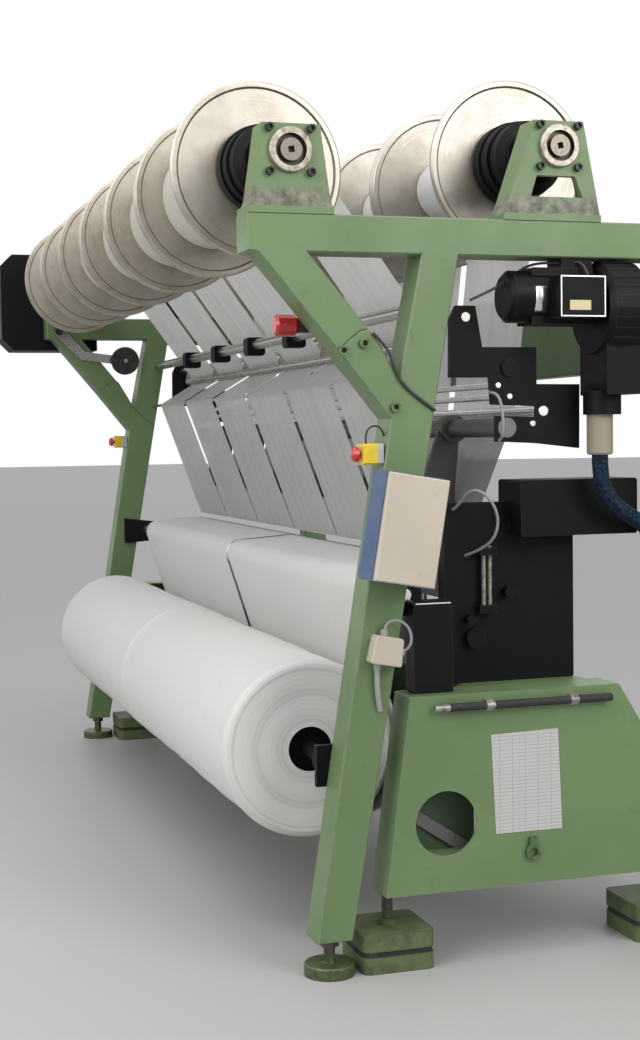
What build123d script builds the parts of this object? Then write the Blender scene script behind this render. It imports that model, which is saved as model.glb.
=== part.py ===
from build123d import *
from math import asin, atan2, cos, hypot, pi, radians, sin
import os

# Warp knitting machine with two sets of sectional warp beams, in millimetres.
# X runs along the beams towards the operator's end, -Y is the fabric side, +Z is up.
# The origin lies on the floor, in the middle of the machine's outline.

# Overall layout
half_depth = 910         # middle of the outline to its front and rear limits
drive_reach = 240        # how far the let-off drives stand out past the far frame
cabinet_reach = 150      # how far the control cabinet stands out past the near frame
frame_depth = 118        # width of the frame boxes along X

# Sectional warp beams
sections = 6
section_length = 568
section_gap = 6
hub_length = 247
flange_dia = 535
flange_rim = 20
flange_web = 8
barrel_dia = 150
barrel_wall = 6
shaft_dia = 64
front_package_dia = 350
rear_package_dia = 210
front_beam_y = -562
front_beam_z = 2388
rear_beam_y = 270
rear_beam_z = 2432

# End frames
top_beam_top = 2212
top_beam_height = 108
top_beam_front = -692
top_beam_rear = 730
leg_bottom = 108
leg_foot_width = 108
front_leg_foot_y = -460
rear_leg_top_y = 662
rear_leg_top_width = 120
leg_disc_dia = 152
leg_disc_height = 36

# Beam bearing stands
stand_depth = 96
hub_gap = 4
stand_plate = 26
stand_foot = 20
saddle_plate = 20
bearing_dia = 127
bearing_proud = 14
spigot_dia = 100
bolt_half_pitch = 61
bolt_dia = 16

# Knitting line and fabric path
knit_y = 44
knit_z = 1176
web_slit = 24
fabric_thickness = 2
guide_roller_dia = 110
guide_roller_y = -188
guide_roller_z = 1102
takedown_dia = 116
takedown_y = -42
upper_takedown_z = 640
lower_takedown_z = 498
batch_dia = 564
batch_core_dia = 140
batch_y = -411
batch_z = 605
batch_groove = 10

# Yarn sheets
sheet_thickness = 1.6
rail_dia = 34
tension_y = 5
tension_z = 1872
tension_arm = 62
edge_rod_y = -142
edge_rod_z = 1752
rear_rail_y = 272
rear_rail_z = 1650

# Machine bed and end housings
bed_front = 16
bed_rear = 440
bed_bottom = 520
housing_bottom = 224
housing_top = 814
housing_depth = 130
housing_wall = 6
housing_foot_y = -300
housing_front_y = -220
hand_hole_dia = 194
hand_hole_y = -109
hand_hole_z = 430
pad_size = 225
pad_height = 50
pad_rubber = 16
front_pad_y = -260
spindle_dia = 34

# General clearances
running_fit = 0.05
seat_gap = 0.3

section_pitch = section_length + section_gap
half_beam = sections * section_pitch / 2
half_frame = half_beam + hub_length + hub_gap + stand_depth   # out to the face of an end frame
mid_x = (drive_reach - cabinet_reach) / 2
near_face = mid_x + half_frame
far_face = mid_x - half_frame
beam_start = mid_x - half_beam
beam_end = mid_x + half_beam
fabric_width = 2 * half_beam - 114
batch_length = fabric_width + 50
top_beam_bottom = top_beam_top - top_beam_height
saddle_top = top_beam_top + saddle_plate
rear_leg_foot_y = half_depth - leg_disc_dia / 2
rear_pad_y = rear_leg_foot_y - 199
housing_rear_y = rear_pad_y - 25
bed_top = housing_top - housing_wall
shaft_radius = shaft_dia / 2
flange_radius = flange_dia / 2
barrel_radius = barrel_dia / 2

os.makedirs("parts", exist_ok=True)


def write(part, name):
    """Label a finished piece and write its file."""
    part.label = name
    export_step(part, "parts/" + name + ".step")


def upright(x):
    """Plane across the machine at x: sketch right is +Y, sketch up is +Z."""
    return Plane(origin=(x, 0, 0), x_dir=(0, 1, 0), z_dir=(1, 0, 0))


def shaft_plane(x, y, z):
    """Plane through a shaft along X: sketch right runs along it, sketch up is the radius."""
    return Plane(origin=(x, y, z), x_dir=(1, 0, 0), z_dir=(0, -1, 0))


def turn(x, y, z, outline, mode=Mode.ADD):
    """Turn an outline of (distance along the shaft, radius) about a shaft along X."""
    with BuildSketch(shaft_plane(x, y, z)) as profile:
        with BuildLine():
            Polyline(*outline, close=True)
        make_face()
    revolve(profile.sketch, axis=Axis((x, y, z), (1, 0, 0)), mode=mode)


def plate(x, outline, thickness, mode=Mode.ADD):
    """Extrude a closed (Y, Z) outline along X from the plane at x."""
    with BuildSketch(upright(x)) as profile:
        with BuildLine():
            Polyline(*outline, close=True)
        make_face()
    extrude(profile.sketch, amount=thickness, mode=mode)


def bar(x, y, z, radius, length, mode=Mode.ADD):
    """Round bar along X that starts at x."""
    with BuildSketch(upright(x)) as profile:
        with Locations((y, z)):
            Circle(radius)
    extrude(profile.sketch, amount=length, mode=mode)


def block(x0, x1, y0, y1, z0, z1, mode=Mode.ADD):
    """Rectangular block between two corners."""
    centre = ((x0 + x1) / 2, (y0 + y1) / 2, (z0 + z1) / 2)
    with Locations(centre):
        Box(abs(x1 - x0), abs(y1 - y0), abs(z1 - z0), mode=mode)


def on_line(start, end, height):
    """Y of the straight edge between two (Y, Z) points at a height."""
    share = (height - start[1]) / (end[1] - start[1])
    return start[0] + share * (end[0] - start[0])


def link(x, start, start_radius, end, end_radius, thickness):
    """Arm plate between two round bosses at (Y, Z) points."""
    lean = atan2(end[1] - start[1], end[0] - start[0]) + pi / 2
    across = (cos(lean), sin(lean))
    with BuildSketch(upright(x)) as profile:
        with BuildLine():
            Polyline(
                (start[0] - start_radius * across[0], start[1] - start_radius * across[1]),
                (start[0] + start_radius * across[0], start[1] + start_radius * across[1]),
                (end[0] + end_radius * across[0], end[1] + end_radius * across[1]),
                (end[0] - end_radius * across[0], end[1] - end_radius * across[1]),
                close=True,
            )
        make_face()
        for centre, radius in ((start, start_radius), (end, end_radius)):
            with Locations(centre):
                Circle(radius)
    extrude(profile.sketch, amount=thickness)


# End frames: a lower leg with a brace stub, and a top frame bolted on along a stepped joint
joint_steps = [(-428, 1826), (-362, 1881), (-334, 1887)]
joint_notch = [(-134, 1649), (-192, 1692), (-241, 1743)]
stub_shoulder = (-321, 1878)
leg_outline = [
    (front_leg_foot_y - leg_foot_width / 2, leg_bottom),
    (front_leg_foot_y + leg_foot_width / 2, leg_bottom),
    *joint_notch,
    stub_shoulder,
    *joint_steps[::-1],
    (-269, 1629),
]
top_frame_outline = [
    (top_beam_front, top_beam_top),
    (top_beam_front, top_beam_bottom + 2),
    (-659, top_beam_bottom - 2),
    *joint_steps,
    (-513, top_beam_bottom),
    (-168, top_beam_bottom),
    *joint_notch[::-1],
    (-53, top_beam_bottom),
    (top_beam_rear, top_beam_bottom),
    (top_beam_rear, top_beam_top),
]
rear_leg_outline = [
    (rear_leg_foot_y - leg_foot_width / 2, leg_bottom),
    (rear_leg_foot_y + leg_foot_width / 2, leg_bottom),
    (rear_leg_top_y + rear_leg_top_width / 2, top_beam_bottom),
    (rear_leg_top_y - rear_leg_top_width / 2, top_beam_bottom),
]
frame_ends = {"near": near_face - frame_depth, "far": far_face}
frame_edge = 4
frame_pieces = {
    "front_legs": leg_outline,
    "rear_legs": rear_leg_outline,
    "top_frames": top_frame_outline,
}
for name, outline in frame_pieces.items():
    with BuildPart() as frame_boxes:
        for start_x in frame_ends.values():
            plate(start_x, outline, frame_depth)
        chamfer(edges().filter_by(Axis.X, reverse=True), frame_edge)
    write(frame_boxes.part, name)

# Warp beam shafts, spools, yarn packages and clamping hubs
beams = {
    "front": (front_beam_y, front_beam_z, front_package_dia / 2),
    "rear": (rear_beam_y, rear_beam_z, rear_package_dia / 2),
}
spool_bore = shaft_radius + seat_gap
face_hub = barrel_radius + 25
web_face = (flange_rim - flange_web) / 2
web_back = web_face + flange_web
rim_inner = flange_radius - 18
barrel_cone = 10
spool_gap = (section_pitch - section_length) / 2


def mirrored(half, length):
    """Full turned outline from the half next to x = 0, listed from the bore outwards."""
    return half + [(length - x, r) for x, r in reversed(half)]


spool_outer = [
    (0, spool_bore),
    (0, face_hub),
    (web_face, face_hub + 8),
    (web_face, rim_inner - 6),
    (0, rim_inner),
    (0, flange_radius - 5),
    (5, flange_radius),
    (flange_rim - 5, flange_radius),
    (flange_rim, flange_radius - 5),
    (flange_rim, rim_inner),
    (web_back, rim_inner - 6),
    (web_back, barrel_radius + barrel_cone),
    (web_back + barrel_cone, barrel_radius),
]
spool_inner = [
    (flange_rim, spool_bore),
    (flange_rim, barrel_radius - barrel_wall),
]


def spool(x, y, z):
    """One beam section: barrel tube between two flanges with rolled rims."""
    bore = [(section_length - px, r) for px, r in spool_inner]
    turn(x, y, z, mirrored(spool_outer, section_length) + bore + spool_inner[::-1])


def package(x, y, z, radius):
    """Yarn wound on one section, up to a radius."""
    half = [
        (web_back + barrel_cone + seat_gap, barrel_radius + seat_gap),
        (web_back + seat_gap, barrel_radius + barrel_cone + seat_gap),
        (web_back + seat_gap, radius - 4),
        (web_back + 4, radius),
    ]
    turn(x, y, z, mirrored(half, section_length))


for side, (beam_y, beam_z, package_radius) in beams.items():
    with BuildPart() as spools:
        for number in range(sections):
            spool(beam_start + number * section_pitch + spool_gap, beam_y, beam_z)
    write(spools.part, side + "_spools")
    with BuildPart() as packages:
        for number in range(sections):
            package(beam_start + number * section_pitch + spool_gap, beam_y, beam_z, package_radius)
    write(packages.part, side + "_yarn_packages")

# Shafts reach from inside the let-off drives to the outer face of the near stands
drive_entry = 150
collar_length = 26
shaft_far = far_face - drive_entry
shaft_near = near_face + bearing_proud
hub_neck = 60
hub_ring = 128
key_square = 18
key_depth = 24


def ringed_hub():
    """Outline of a clamping hub from the spool face outwards, with grooves between its rings."""
    ring = hub_length / 6
    ring_groove = hub_length / 31
    shoulder = 3 * ring + 2 * ring_groove
    return [
        (0, spool_bore),
        (0, hub_ring),
        (ring, hub_ring),
        (ring, hub_ring - 18),
        (ring + ring_groove, hub_ring - 18),
        (ring + ring_groove, hub_ring - 6),
        (2 * ring + ring_groove, hub_ring - 6),
        (2 * ring + ring_groove, hub_ring - 24),
        (2 * ring + 2 * ring_groove, hub_ring - 24),
        (2 * ring + 2 * ring_groove, hub_ring - 14),
        (shoulder, hub_ring - 14),
        (shoulder + ring / 3, hub_ring - 40),
        (4 * ring + 2 * ring_groove, hub_ring - 40),
        (4 * ring + 2 * ring_groove, hub_neck),
        (hub_length, hub_neck),
        (hub_length, spool_bore),
    ]


def face_screws(x, y, z, reach, outward):
    """Socket screws in the square pattern about a shaft, heads standing on the face at x."""
    head = bolt_dia
    start = x if outward > 0 else x - head
    socket = x + head - bolt_dia / 2 if outward > 0 else x - head
    shank = x - reach if outward > 0 else x
    for side in (-1, 1):
        for level in (-1, 1):
            screw_y = y + side * bolt_half_pitch
            screw_z = z + level * bolt_half_pitch
            bar(start, screw_y, screw_z, bolt_dia * 0.75, head)
            bar(shank, screw_y, screw_z, bolt_dia / 2, reach)
            with BuildSketch(upright(socket)) as hexagon:
                with Locations((screw_y, screw_z)):
                    RegularPolygon(bolt_dia / 2, 6)
            extrude(hexagon.sketch, amount=bolt_dia / 2, mode=Mode.SUBTRACT)


for side, (beam_y, beam_z, package_radius) in beams.items():
    with BuildPart() as beam_shaft:
        bar(shaft_far, beam_y, beam_z, shaft_radius, shaft_near - shaft_far)
        with BuildSketch(upright(shaft_near - key_depth)) as key:
            with Locations((beam_y, beam_z)):
                Rectangle(key_square, key_square, rotation=12)
        extrude(key.sketch, amount=key_depth, mode=Mode.SUBTRACT)
    write(beam_shaft.part, side + "_beam_shaft")
    with BuildPart() as clamp_hubs:
        turn(beam_end, beam_y, beam_z, ringed_hub())
        turn(beam_start, beam_y, beam_z, [(-x, r) for x, r in ringed_hub()])
    write(clamp_hubs.part, side + "_clamp_hubs")

# Bearing stands: cast trapezoid shells with a foot, a bearing boss and raised side ribs
stand_rib = 18
boss_radius = spigot_dia / 2 + 22
stand_shapes = {
    "front": [
        (front_beam_y - 122, saddle_top),
        (front_beam_y + 125, saddle_top),
        (front_beam_y + 118, saddle_top + stand_foot),
        (front_beam_y + 89, front_beam_z + 75),
        (front_beam_y - 82, front_beam_z + 75),
        (front_beam_y - 114, saddle_top + stand_foot),
    ],
    "rear": [
        (rear_beam_y - 175, saddle_top),
        (rear_beam_y + 135, saddle_top),
        (rear_beam_y + 131, saddle_top + stand_foot),
        (rear_beam_y + 81, rear_beam_z + 75),
        (rear_beam_y - 80, rear_beam_z + 75),
        (rear_beam_y - 168, saddle_top + stand_foot),
    ],
}
rear_window = [
    (rear_beam_y - 91, saddle_top + 50),
    (rear_beam_y + 79, saddle_top + 50),
    (rear_beam_y + 53, rear_beam_z - bearing_dia / 2 - 24),
    (rear_beam_y - 71, rear_beam_z - bearing_dia / 2 - 24),
]
# The machined faces look out of the machine at both ends
stand_ends = {"near": (near_face, 1), "far": (far_face, -1)}


def stand_pocket(x, outline, outward):
    """Hollow a stand from its inner side, leaving the face plate, ribs, foot and boss."""
    right, top_right, top_left, left = outline[2:]
    pocket = [
        (left[0] + stand_rib, left[1]),
        (right[0] - stand_rib, right[1]),
        (top_right[0] - stand_rib, top_right[1] - stand_rib),
        (top_left[0] + stand_rib, top_left[1] - stand_rib),
    ]
    start = x - stand_depth if outward > 0 else x + stand_plate
    plate(start, pocket, stand_depth - stand_plate, Mode.SUBTRACT)


for side, (beam_y, beam_z, package_radius) in beams.items():
    with BuildPart() as stands:
        for face_x, outward in stand_ends.values():
            stand_x = face_x - stand_depth if outward > 0 else face_x
            plate(stand_x, stand_shapes[side], stand_depth)
            stand_pocket(face_x, stand_shapes[side], outward)
            bar(stand_x, beam_y, beam_z, boss_radius, stand_depth)
            bar(stand_x, beam_y, beam_z, spigot_dia / 2 + running_fit, stand_depth, Mode.SUBTRACT)
            if side == "rear":
                plate(stand_x, rear_window, stand_depth, Mode.SUBTRACT)
            for turn_y in (-1, 1):
                for turn_z in (-1, 1):
                    screw_y = beam_y + turn_y * bolt_half_pitch
                    screw_z = beam_z + turn_z * bolt_half_pitch
                    bar(stand_x, screw_y, screw_z, bolt_dia / 2 + running_fit, stand_depth, Mode.SUBTRACT)
    write(stands.part, side + "_stands")

with BuildPart() as saddle_plates:
    for side, outline in stand_shapes.items():
        for start_x in frame_ends.values():
            block(start_x, start_x + frame_depth, outline[0][0] - 4, outline[1][0] + 4,
                  top_beam_top, saddle_top)
write(saddle_plates.part, "saddle_plates")

# Bearing housings with a proud ring outside, the bearings in them and the screws beside them
bearing_outer = 45
with BuildPart() as bearing_housings:
    for beam_y, beam_z, package_radius in beams.values():
        for face_x, outward in stand_ends.values():
            cup = [
                (-stand_depth, bearing_outer + seat_gap),
                (-stand_depth, spigot_dia / 2),
                (0, spigot_dia / 2),
                (0, bearing_dia / 2),
                (bearing_proud - 3, bearing_dia / 2),
                (bearing_proud, bearing_dia / 2 - 3),
                (bearing_proud, bearing_outer + seat_gap),
            ]
            if outward < 0:
                cup = cup[:3] + [(0, bearing_outer + seat_gap)]
            turn(face_x, beam_y, beam_z, [(outward * x, r) for x, r in cup])
write(bearing_housings.part, "bearing_housings")

# Let-off drives: closed cases on the far end, with cut front corners and a shaft socket
drive_top_over = 162
drive_drop = 337
drive_cut = 60
drive_front_over = half_depth + front_beam_y
drive_rear_over = 150
with BuildPart() as let_off_drives:
    for beam_y, beam_z, package_radius in beams.values():
        drive_top = beam_z + drive_top_over
        drive_bottom = beam_z - drive_drop
        drive_front = beam_y - drive_front_over
        drive_rear = beam_y + drive_rear_over
        plate(far_face - drive_reach, [
            (drive_front, drive_bottom + drive_cut),
            (drive_front + drive_cut, drive_bottom),
            (drive_rear, drive_bottom),
            (drive_rear, drive_top),
            (drive_front + drive_cut, drive_top),
            (drive_front, drive_top - drive_cut),
        ], drive_reach)
        bar(shaft_far - seat_gap, beam_y, beam_z, shaft_radius + seat_gap, drive_entry + seat_gap,
            Mode.SUBTRACT)
    chamfer(faces().filter_by(Axis.X).group_by(Axis.X)[0].edges(), 12)
write(let_off_drives.part, "let_off_drives")

# Foot pads, spindles and sills under the two end housings
sill_bottom = housing_bottom + 8
sill_height = 98
sill_front = -277
sill_rear = rear_pad_y + 70
sill_width = 120
sill_outer = {"near": near_face - 50, "far": far_face + 50}
inward = {"near": -1, "far": 1}
pad_top = pad_height * 2 + pad_rubber
pads = [
    ((near_face if end == "near" else far_face) + inward[end] * (50 + sill_width / 2), pad_y)
    for end in ("near", "far")
    for pad_y in (front_pad_y, rear_pad_y)
]
with BuildPart() as foot_pads:
    for pad_x, pad_y in pads:
        for level in (0, pad_height + pad_rubber):
            with BuildSketch(Plane.XY.offset(level)) as pad:
                with Locations((pad_x, pad_y)):
                    RectangleRounded(pad_size, pad_size, 24)
            extrude(pad.sketch, amount=pad_height)
        with Locations((pad_x, pad_y, pad_top + 8)):
            Cylinder(spindle_dia * 0.9, 16)
    with Locations(*[(pad_x, pad_y, pad_top + 16) for pad_x, pad_y in pads]):
        Hole(spindle_dia / 2, 16 + pad_height / 2)
write(foot_pads.part, "foot_pads")
with BuildPart() as foot_rubbers:
    for pad_x, pad_y in pads:
        with BuildSketch(Plane.XY.offset(pad_height)) as rubber:
            with Locations((pad_x, pad_y)):
                RectangleRounded(pad_size - 8, pad_size - 8, 22)
        extrude(rubber.sketch, amount=pad_rubber)
write(foot_rubbers.part, "foot_rubbers")
spindle_base = pad_top + 16 - 16 - pad_height / 2
with BuildPart() as foot_spindles:
    for pad_x, pad_y in pads:
        with Locations((pad_x, pad_y, spindle_base)):
            Cylinder(spindle_dia / 2, sill_bottom - spindle_base, align=(Align.CENTER, Align.CENTER, Align.MIN))
        with BuildSketch(Plane.XY.offset(sill_bottom - 24)) as nut:
            with Locations((pad_x, pad_y)):
                RegularPolygon(spindle_dia * 0.85, 6)
        extrude(nut.sketch, amount=24)
    for end, start_x in frame_ends.items():
        for foot_y in (front_leg_foot_y, rear_leg_foot_y):
            centre = (start_x + frame_depth / 2, foot_y, 0)
            with Locations(centre):
                Cylinder(leg_disc_dia / 2, leg_disc_height, align=(Align.CENTER, Align.CENTER, Align.MIN))
                Cylinder(spindle_dia / 2, leg_bottom, align=(Align.CENTER, Align.CENTER, Align.MIN))
            with BuildSketch(Plane.XY.offset(leg_bottom - 24)) as leg_nut:
                with Locations(centre[:2]):
                    RegularPolygon(spindle_dia * 0.85, 6)
            extrude(leg_nut.sketch, amount=24)
    chamfer(edges().filter_by(GeomType.CIRCLE).filter_by_position(Axis.Z, leg_disc_height, leg_disc_height), 4)
write(foot_spindles.part, "foot_spindles")

# Sills, pedestals and the bed casting that carries the knitting elements
pedestal_front = 60
pedestal_rear = 420
main_shaft_dia = 70
main_shaft_y = 235
main_shaft_z = 700
needle_bar_front = 30
needle_bar_depth = 36
push_rod_dia = 28
push_rod_y = needle_bar_front + needle_bar_depth / 2
rod_depth = 90
rod_count = 6
hanger_pitch = section_pitch + 26
with BuildPart() as bed_sills:
    for end, outer_x in sill_outer.items():
        block(outer_x, outer_x + inward[end] * sill_width, sill_front, sill_rear,
              sill_bottom, sill_bottom + sill_height)
        block(outer_x, outer_x + inward[end] * sill_width, pedestal_front, pedestal_rear,
              sill_bottom + sill_height, bed_bottom)
write(bed_sills.part, "bed_sills")
bed_length = half_frame * 2 - 100
with BuildPart() as machine_bed:
    plate(sill_outer["far"], [
        (bed_front, bed_bottom + 60),
        (bed_front + 60, bed_bottom),
        (bed_rear, bed_bottom),
        (bed_rear, bed_top),
        (bed_front, bed_top),
    ], bed_length)
    chamfer(edges().filter_by(Axis.X).sort_by(Axis.Z)[-2:], 10)
    bar(sill_outer["far"], main_shaft_y, main_shaft_z, main_shaft_dia / 2 + 12, bed_length, Mode.SUBTRACT)
    rod_bores = [
        (mid_x + (number - (rod_count - 1) / 2) * hanger_pitch, push_rod_y, bed_top - rod_depth - 30)
        for number in range(rod_count)
    ]
    with Locations(*rod_bores):
        Cylinder(push_rod_dia / 2 + running_fit, rod_depth + 30, mode=Mode.SUBTRACT,
                 align=(Align.CENTER, Align.CENTER, Align.MIN))
write(machine_bed.part, "machine_bed")

# End housings: folded covers round the lower end of the bed, with a hand hole
housing_front_z = 697
housing_step_y = housing_rear_y - 76
housing_slope_y = housing_step_y - 72
housing_step_z = 574
housing_x = {"near": near_face, "far": far_face}
panel_outline = [
    (housing_foot_y, housing_bottom),
    (housing_rear_y, housing_bottom),
    (housing_rear_y, housing_step_z),
    (housing_step_y, housing_front_z),
    (housing_slope_y, housing_top),
    (housing_front_y, housing_top),
]
inner_outline = [
    (housing_foot_y + housing_wall * 1.3, housing_bottom),
    (housing_rear_y - housing_wall, housing_bottom),
    (housing_rear_y - housing_wall, housing_step_z - 2),
    (housing_step_y - housing_wall, housing_front_z - 3),
    (housing_slope_y - housing_wall / 2, housing_top - housing_wall),
    (housing_front_y + housing_wall, housing_top - housing_wall),
]
for end, face_x in housing_x.items():
    cover_x = min(face_x, face_x + inward[end] * housing_depth)
    cavity_x = cover_x - 1 if end == "near" else cover_x + housing_wall
    with BuildPart() as end_housing:
        plate(cover_x, panel_outline, housing_depth)
        chamfer(edges().filter_by(Axis.X).sort_by(Axis.Z)[-2:], 4)
        plate(cavity_x, inner_outline, housing_depth - housing_wall + 1, Mode.SUBTRACT)
        block(sill_outer[end] - inward[end], sill_outer[end] + inward[end] * sill_width, housing_step_y,
              sill_rear, sill_bottom - 1, sill_bottom + sill_height + 1, Mode.SUBTRACT)
        bar(cover_x, hand_hole_y, hand_hole_z, hand_hole_dia / 2, housing_depth, Mode.SUBTRACT)
    write(end_housing.part, "end_housing_" + end)

# Bands of yarn or cloth: each wrap is (y, z, radius, turning sense), ends are tangent points


def headings(wraps):
    """Travel angle of each straight run between neighbouring wraps."""
    angles = []
    for (y1, z1, r1, s1), (y2, z2, r2, s2) in zip(wraps, wraps[1:]):
        span = hypot(y2 - y1, z2 - z1)
        angles.append(atan2(z2 - z1, y2 - y1) - asin((s2 * r2 - s1 * r1) / span))
    return angles


def touch(wrap, angle, shift):
    """Point beside a wrap where a run at an angle leaves it, moved to the left by shift."""
    y, z, radius, sense = wrap
    reach = shift - sense * radius
    return y - reach * sin(angle), z + reach * cos(angle)


def band(x, wraps, thickness, width):
    """Flat band of a width along X that follows its wraps."""
    angles = headings(wraps)
    with BuildSketch(upright(x)) as profile:
        with BuildLine():
            for shift in (-thickness / 2, thickness / 2):
                here = touch(wraps[0], angles[0], shift)
                for wrap, arrive, leave in zip(wraps[1:], angles, angles[1:]):
                    there = touch(wrap, arrive, shift)
                    turned = (wrap[3] * (leave - arrive)) % (2 * pi)
                    middle = touch(wrap, arrive + wrap[3] * turned / 2, shift)
                    onward = touch(wrap, leave, shift)
                    Line(here, there)
                    ThreePointArc(there, middle, onward)
                    here = onward
                Line(here, touch(wraps[-1], angles[-1], shift))
            for wrap, angle in ((wraps[0], angles[0]), (wraps[-1], angles[-1])):
                Line(touch(wrap, angle, -thickness / 2), touch(wrap, angle, thickness / 2))
        make_face()
    extrude(profile.sketch, amount=width)


# Cloth: knitting line, guide roller, take-down rollers and batch roll
cloth_middle = fabric_thickness / 2 + seat_gap
takedown_radius = takedown_dia / 2
cloth_wraps = [
    (knit_y - 22, knit_z, 0, 1),
    (guide_roller_y, guide_roller_z, guide_roller_dia / 2 + cloth_middle, 1),
    (takedown_y, upper_takedown_z, takedown_radius + cloth_middle, 1),
    (takedown_y, lower_takedown_z, takedown_radius + cloth_middle, -1),
    (batch_y, batch_z, batch_dia / 2 + cloth_middle, -1),
]
half_cloth = (fabric_width - web_slit) / 2
with BuildPart() as fabric_web:
    band(mid_x - fabric_width / 2, cloth_wraps, fabric_thickness, half_cloth)
    band(mid_x + web_slit / 2, cloth_wraps, fabric_thickness, half_cloth)
write(fabric_web.part, "fabric_web")

roller_length = fabric_width + 60
journal_dia = 40
bracket_gap = 30
inner_near = near_face - frame_depth
inner_far = far_face + frame_depth
bracket_thickness = 20


def roller(y, z, diameter, length, journal_reach):
    """Roller with a journal at each end."""
    bar(mid_x - length / 2, y, z, diameter / 2, length)
    bar(mid_x - journal_reach, y, z, journal_dia / 2, 2 * journal_reach)
    chamfer(edges().filter_by(GeomType.CIRCLE).sort_by(SortBy.RADIUS)[-2:], 3)


frame_reach = half_frame - frame_depth
takedown_reach = roller_length / 2 + 60
with BuildPart() as guide_roller:
    roller(guide_roller_y, guide_roller_z, guide_roller_dia, roller_length, frame_reach)
write(guide_roller.part, "guide_roller")
takedown_levels = {"upper": upper_takedown_z, "lower": lower_takedown_z}
for name, level in takedown_levels.items():
    with BuildPart() as takedown_roller:
        roller(takedown_y, level, takedown_dia, roller_length, takedown_reach)
    write(takedown_roller.part, "takedown_roller_" + name)

batch_shaft_dia = 50
batch_recess = 40
batch_face = [
    (batch_recess, batch_core_dia / 2),
    (0, batch_core_dia / 2),
    (0, batch_dia / 2 - 14),
    (4, batch_dia / 2 - 4),
    (14, batch_dia / 2),
]
with BuildPart() as batch_roll:
    half_roll = batch_length / 2 - batch_groove / 2
    for start_x, side in ((mid_x - batch_length / 2, 1), (mid_x + batch_length / 2, -1)):
        roll_outline = [(half_roll, batch_core_dia / 2)] + batch_face + [(half_roll, batch_dia / 2)]
        turn(start_x, batch_y, batch_z, [(side * x, r) for x, r in roll_outline[:1] + roll_outline[2:]])
write(batch_roll.part, "batch_roll")
with BuildPart() as batch_shaft:
    bar(mid_x - frame_reach, batch_y, batch_z, batch_shaft_dia / 2, 2 * frame_reach)
    bar(mid_x - batch_length / 2 + batch_recess, batch_y, batch_z, batch_core_dia / 2,
        batch_length - 2 * batch_recess)
    for start_x in (mid_x - frame_reach + 60, mid_x + frame_reach - 100):
        bar(start_x, batch_y, batch_z, batch_shaft_dia * 0.9, 40)
write(batch_shaft.part, "batch_shaft")

# Bearing blocks for the rollers, on the legs' inner faces and on the front of the bed
with BuildPart() as roller_brackets:
    for start_x in (inner_near - bracket_thickness, inner_far):
        plate(start_x, [
            (guide_roller_y - 120, guide_roller_z - 70),
            (guide_roller_y + 20, guide_roller_z - 60),
            (guide_roller_y + 52, guide_roller_z - 20),
            (guide_roller_y + 52, guide_roller_z + 40),
            (guide_roller_y - 120, guide_roller_z + 60),
        ], bracket_thickness)
        bar(start_x, guide_roller_y, guide_roller_z, journal_dia / 2 + running_fit, bracket_thickness,
            Mode.SUBTRACT)
        block(start_x, start_x + bracket_thickness, batch_y - 62, batch_y + 62, batch_z - 62, batch_z + 62)
        bar(start_x, batch_y, batch_z, batch_shaft_dia / 2 + running_fit, bracket_thickness, Mode.SUBTRACT)
    for start_x in (mid_x - takedown_reach, mid_x + takedown_reach - bracket_thickness):
        plate(start_x, [
            (takedown_y - 44, lower_takedown_z - 70),
            (bed_front, bed_bottom + 60),
            (bed_front, upper_takedown_z + 90),
            (takedown_y - 44, upper_takedown_z + 50),
        ], bracket_thickness)
        for level in takedown_levels.values():
            bar(start_x, takedown_y, level, journal_dia / 2 + running_fit, bracket_thickness, Mode.SUBTRACT)
write(roller_brackets.part, "roller_brackets")

# Warp yarn sheets from both beams down to the guide bars
rail_radius = rail_dia / 2
sheet_gap = 1
sheet_middle = sheet_thickness / 2 + sheet_gap
web_width = section_length - 2 * flange_rim - 4
edge_rod_dia = 14
front_end_y = 12
front_end_z = 1262
rear_end_y = 178
rear_end_z = 1332
sheet_wraps = {
    "front": [
        (front_beam_y, front_beam_z, front_package_dia / 2 + sheet_middle, -1),
        (tension_y, tension_z, rail_radius + sheet_middle, -1),
        (edge_rod_y, edge_rod_z, edge_rod_dia / 2 + sheet_middle, 1),
        (front_end_y, front_end_z, 0, 1),
    ],
    "rear": [
        (rear_beam_y, rear_beam_z, rear_package_dia / 2 + sheet_middle, -1),
        (rear_rail_y, rear_rail_z, rail_radius + sheet_middle, -1),
        (rear_end_y, rear_end_z, 0, 1),
    ],
}
for side, wraps in sheet_wraps.items():
    with BuildPart() as yarn_sheet:
        for number in range(sections):
            web_start = beam_start + (number + 0.5) * section_pitch - web_width / 2
            band(web_start, wraps, sheet_thickness, web_width)
    write(yarn_sheet.part, "yarn_sheet_" + side)

# Side plates that carry the rails and the swing shaft, on the frames' inner faces
side_plate = 14
swing_y = 150
swing_z = 1600
swing_radius = 30
tension_pivot_y = tension_y + 12
tension_pivot_z = tension_z + tension_arm
tension_pivot_dia = 28
rear_rod_dia = 20
rear_rods = [(rear_rail_y - 36, rear_rail_z - 38), (swing_y + 10, swing_z + 95), (swing_y - 28, swing_z + 129)]
side_plate_outline = [
    (-36, 1927),
    (-16, tension_pivot_z + 34),
    (48, tension_pivot_z + 34),
    (70, 1844),
    (249, 1844),
    (249, 1732),
    (394, 1731),
    (392, 1534),
    (247, 1551),
    (swing_y - 38, 1558),
    (swing_y - 38, swing_z + 36),
    (swing_y + 34, swing_z + 34),
    (rear_rail_y - 26, swing_z + 32),
    (rear_rail_y - 26, rear_rail_z + 14),
    (swing_y - 52, rear_rail_z + 20),
    (swing_y - 58, swing_z + 152),
    (-38, swing_z + 152),
]
boss_y = 156
boss_z = 1781
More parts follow.
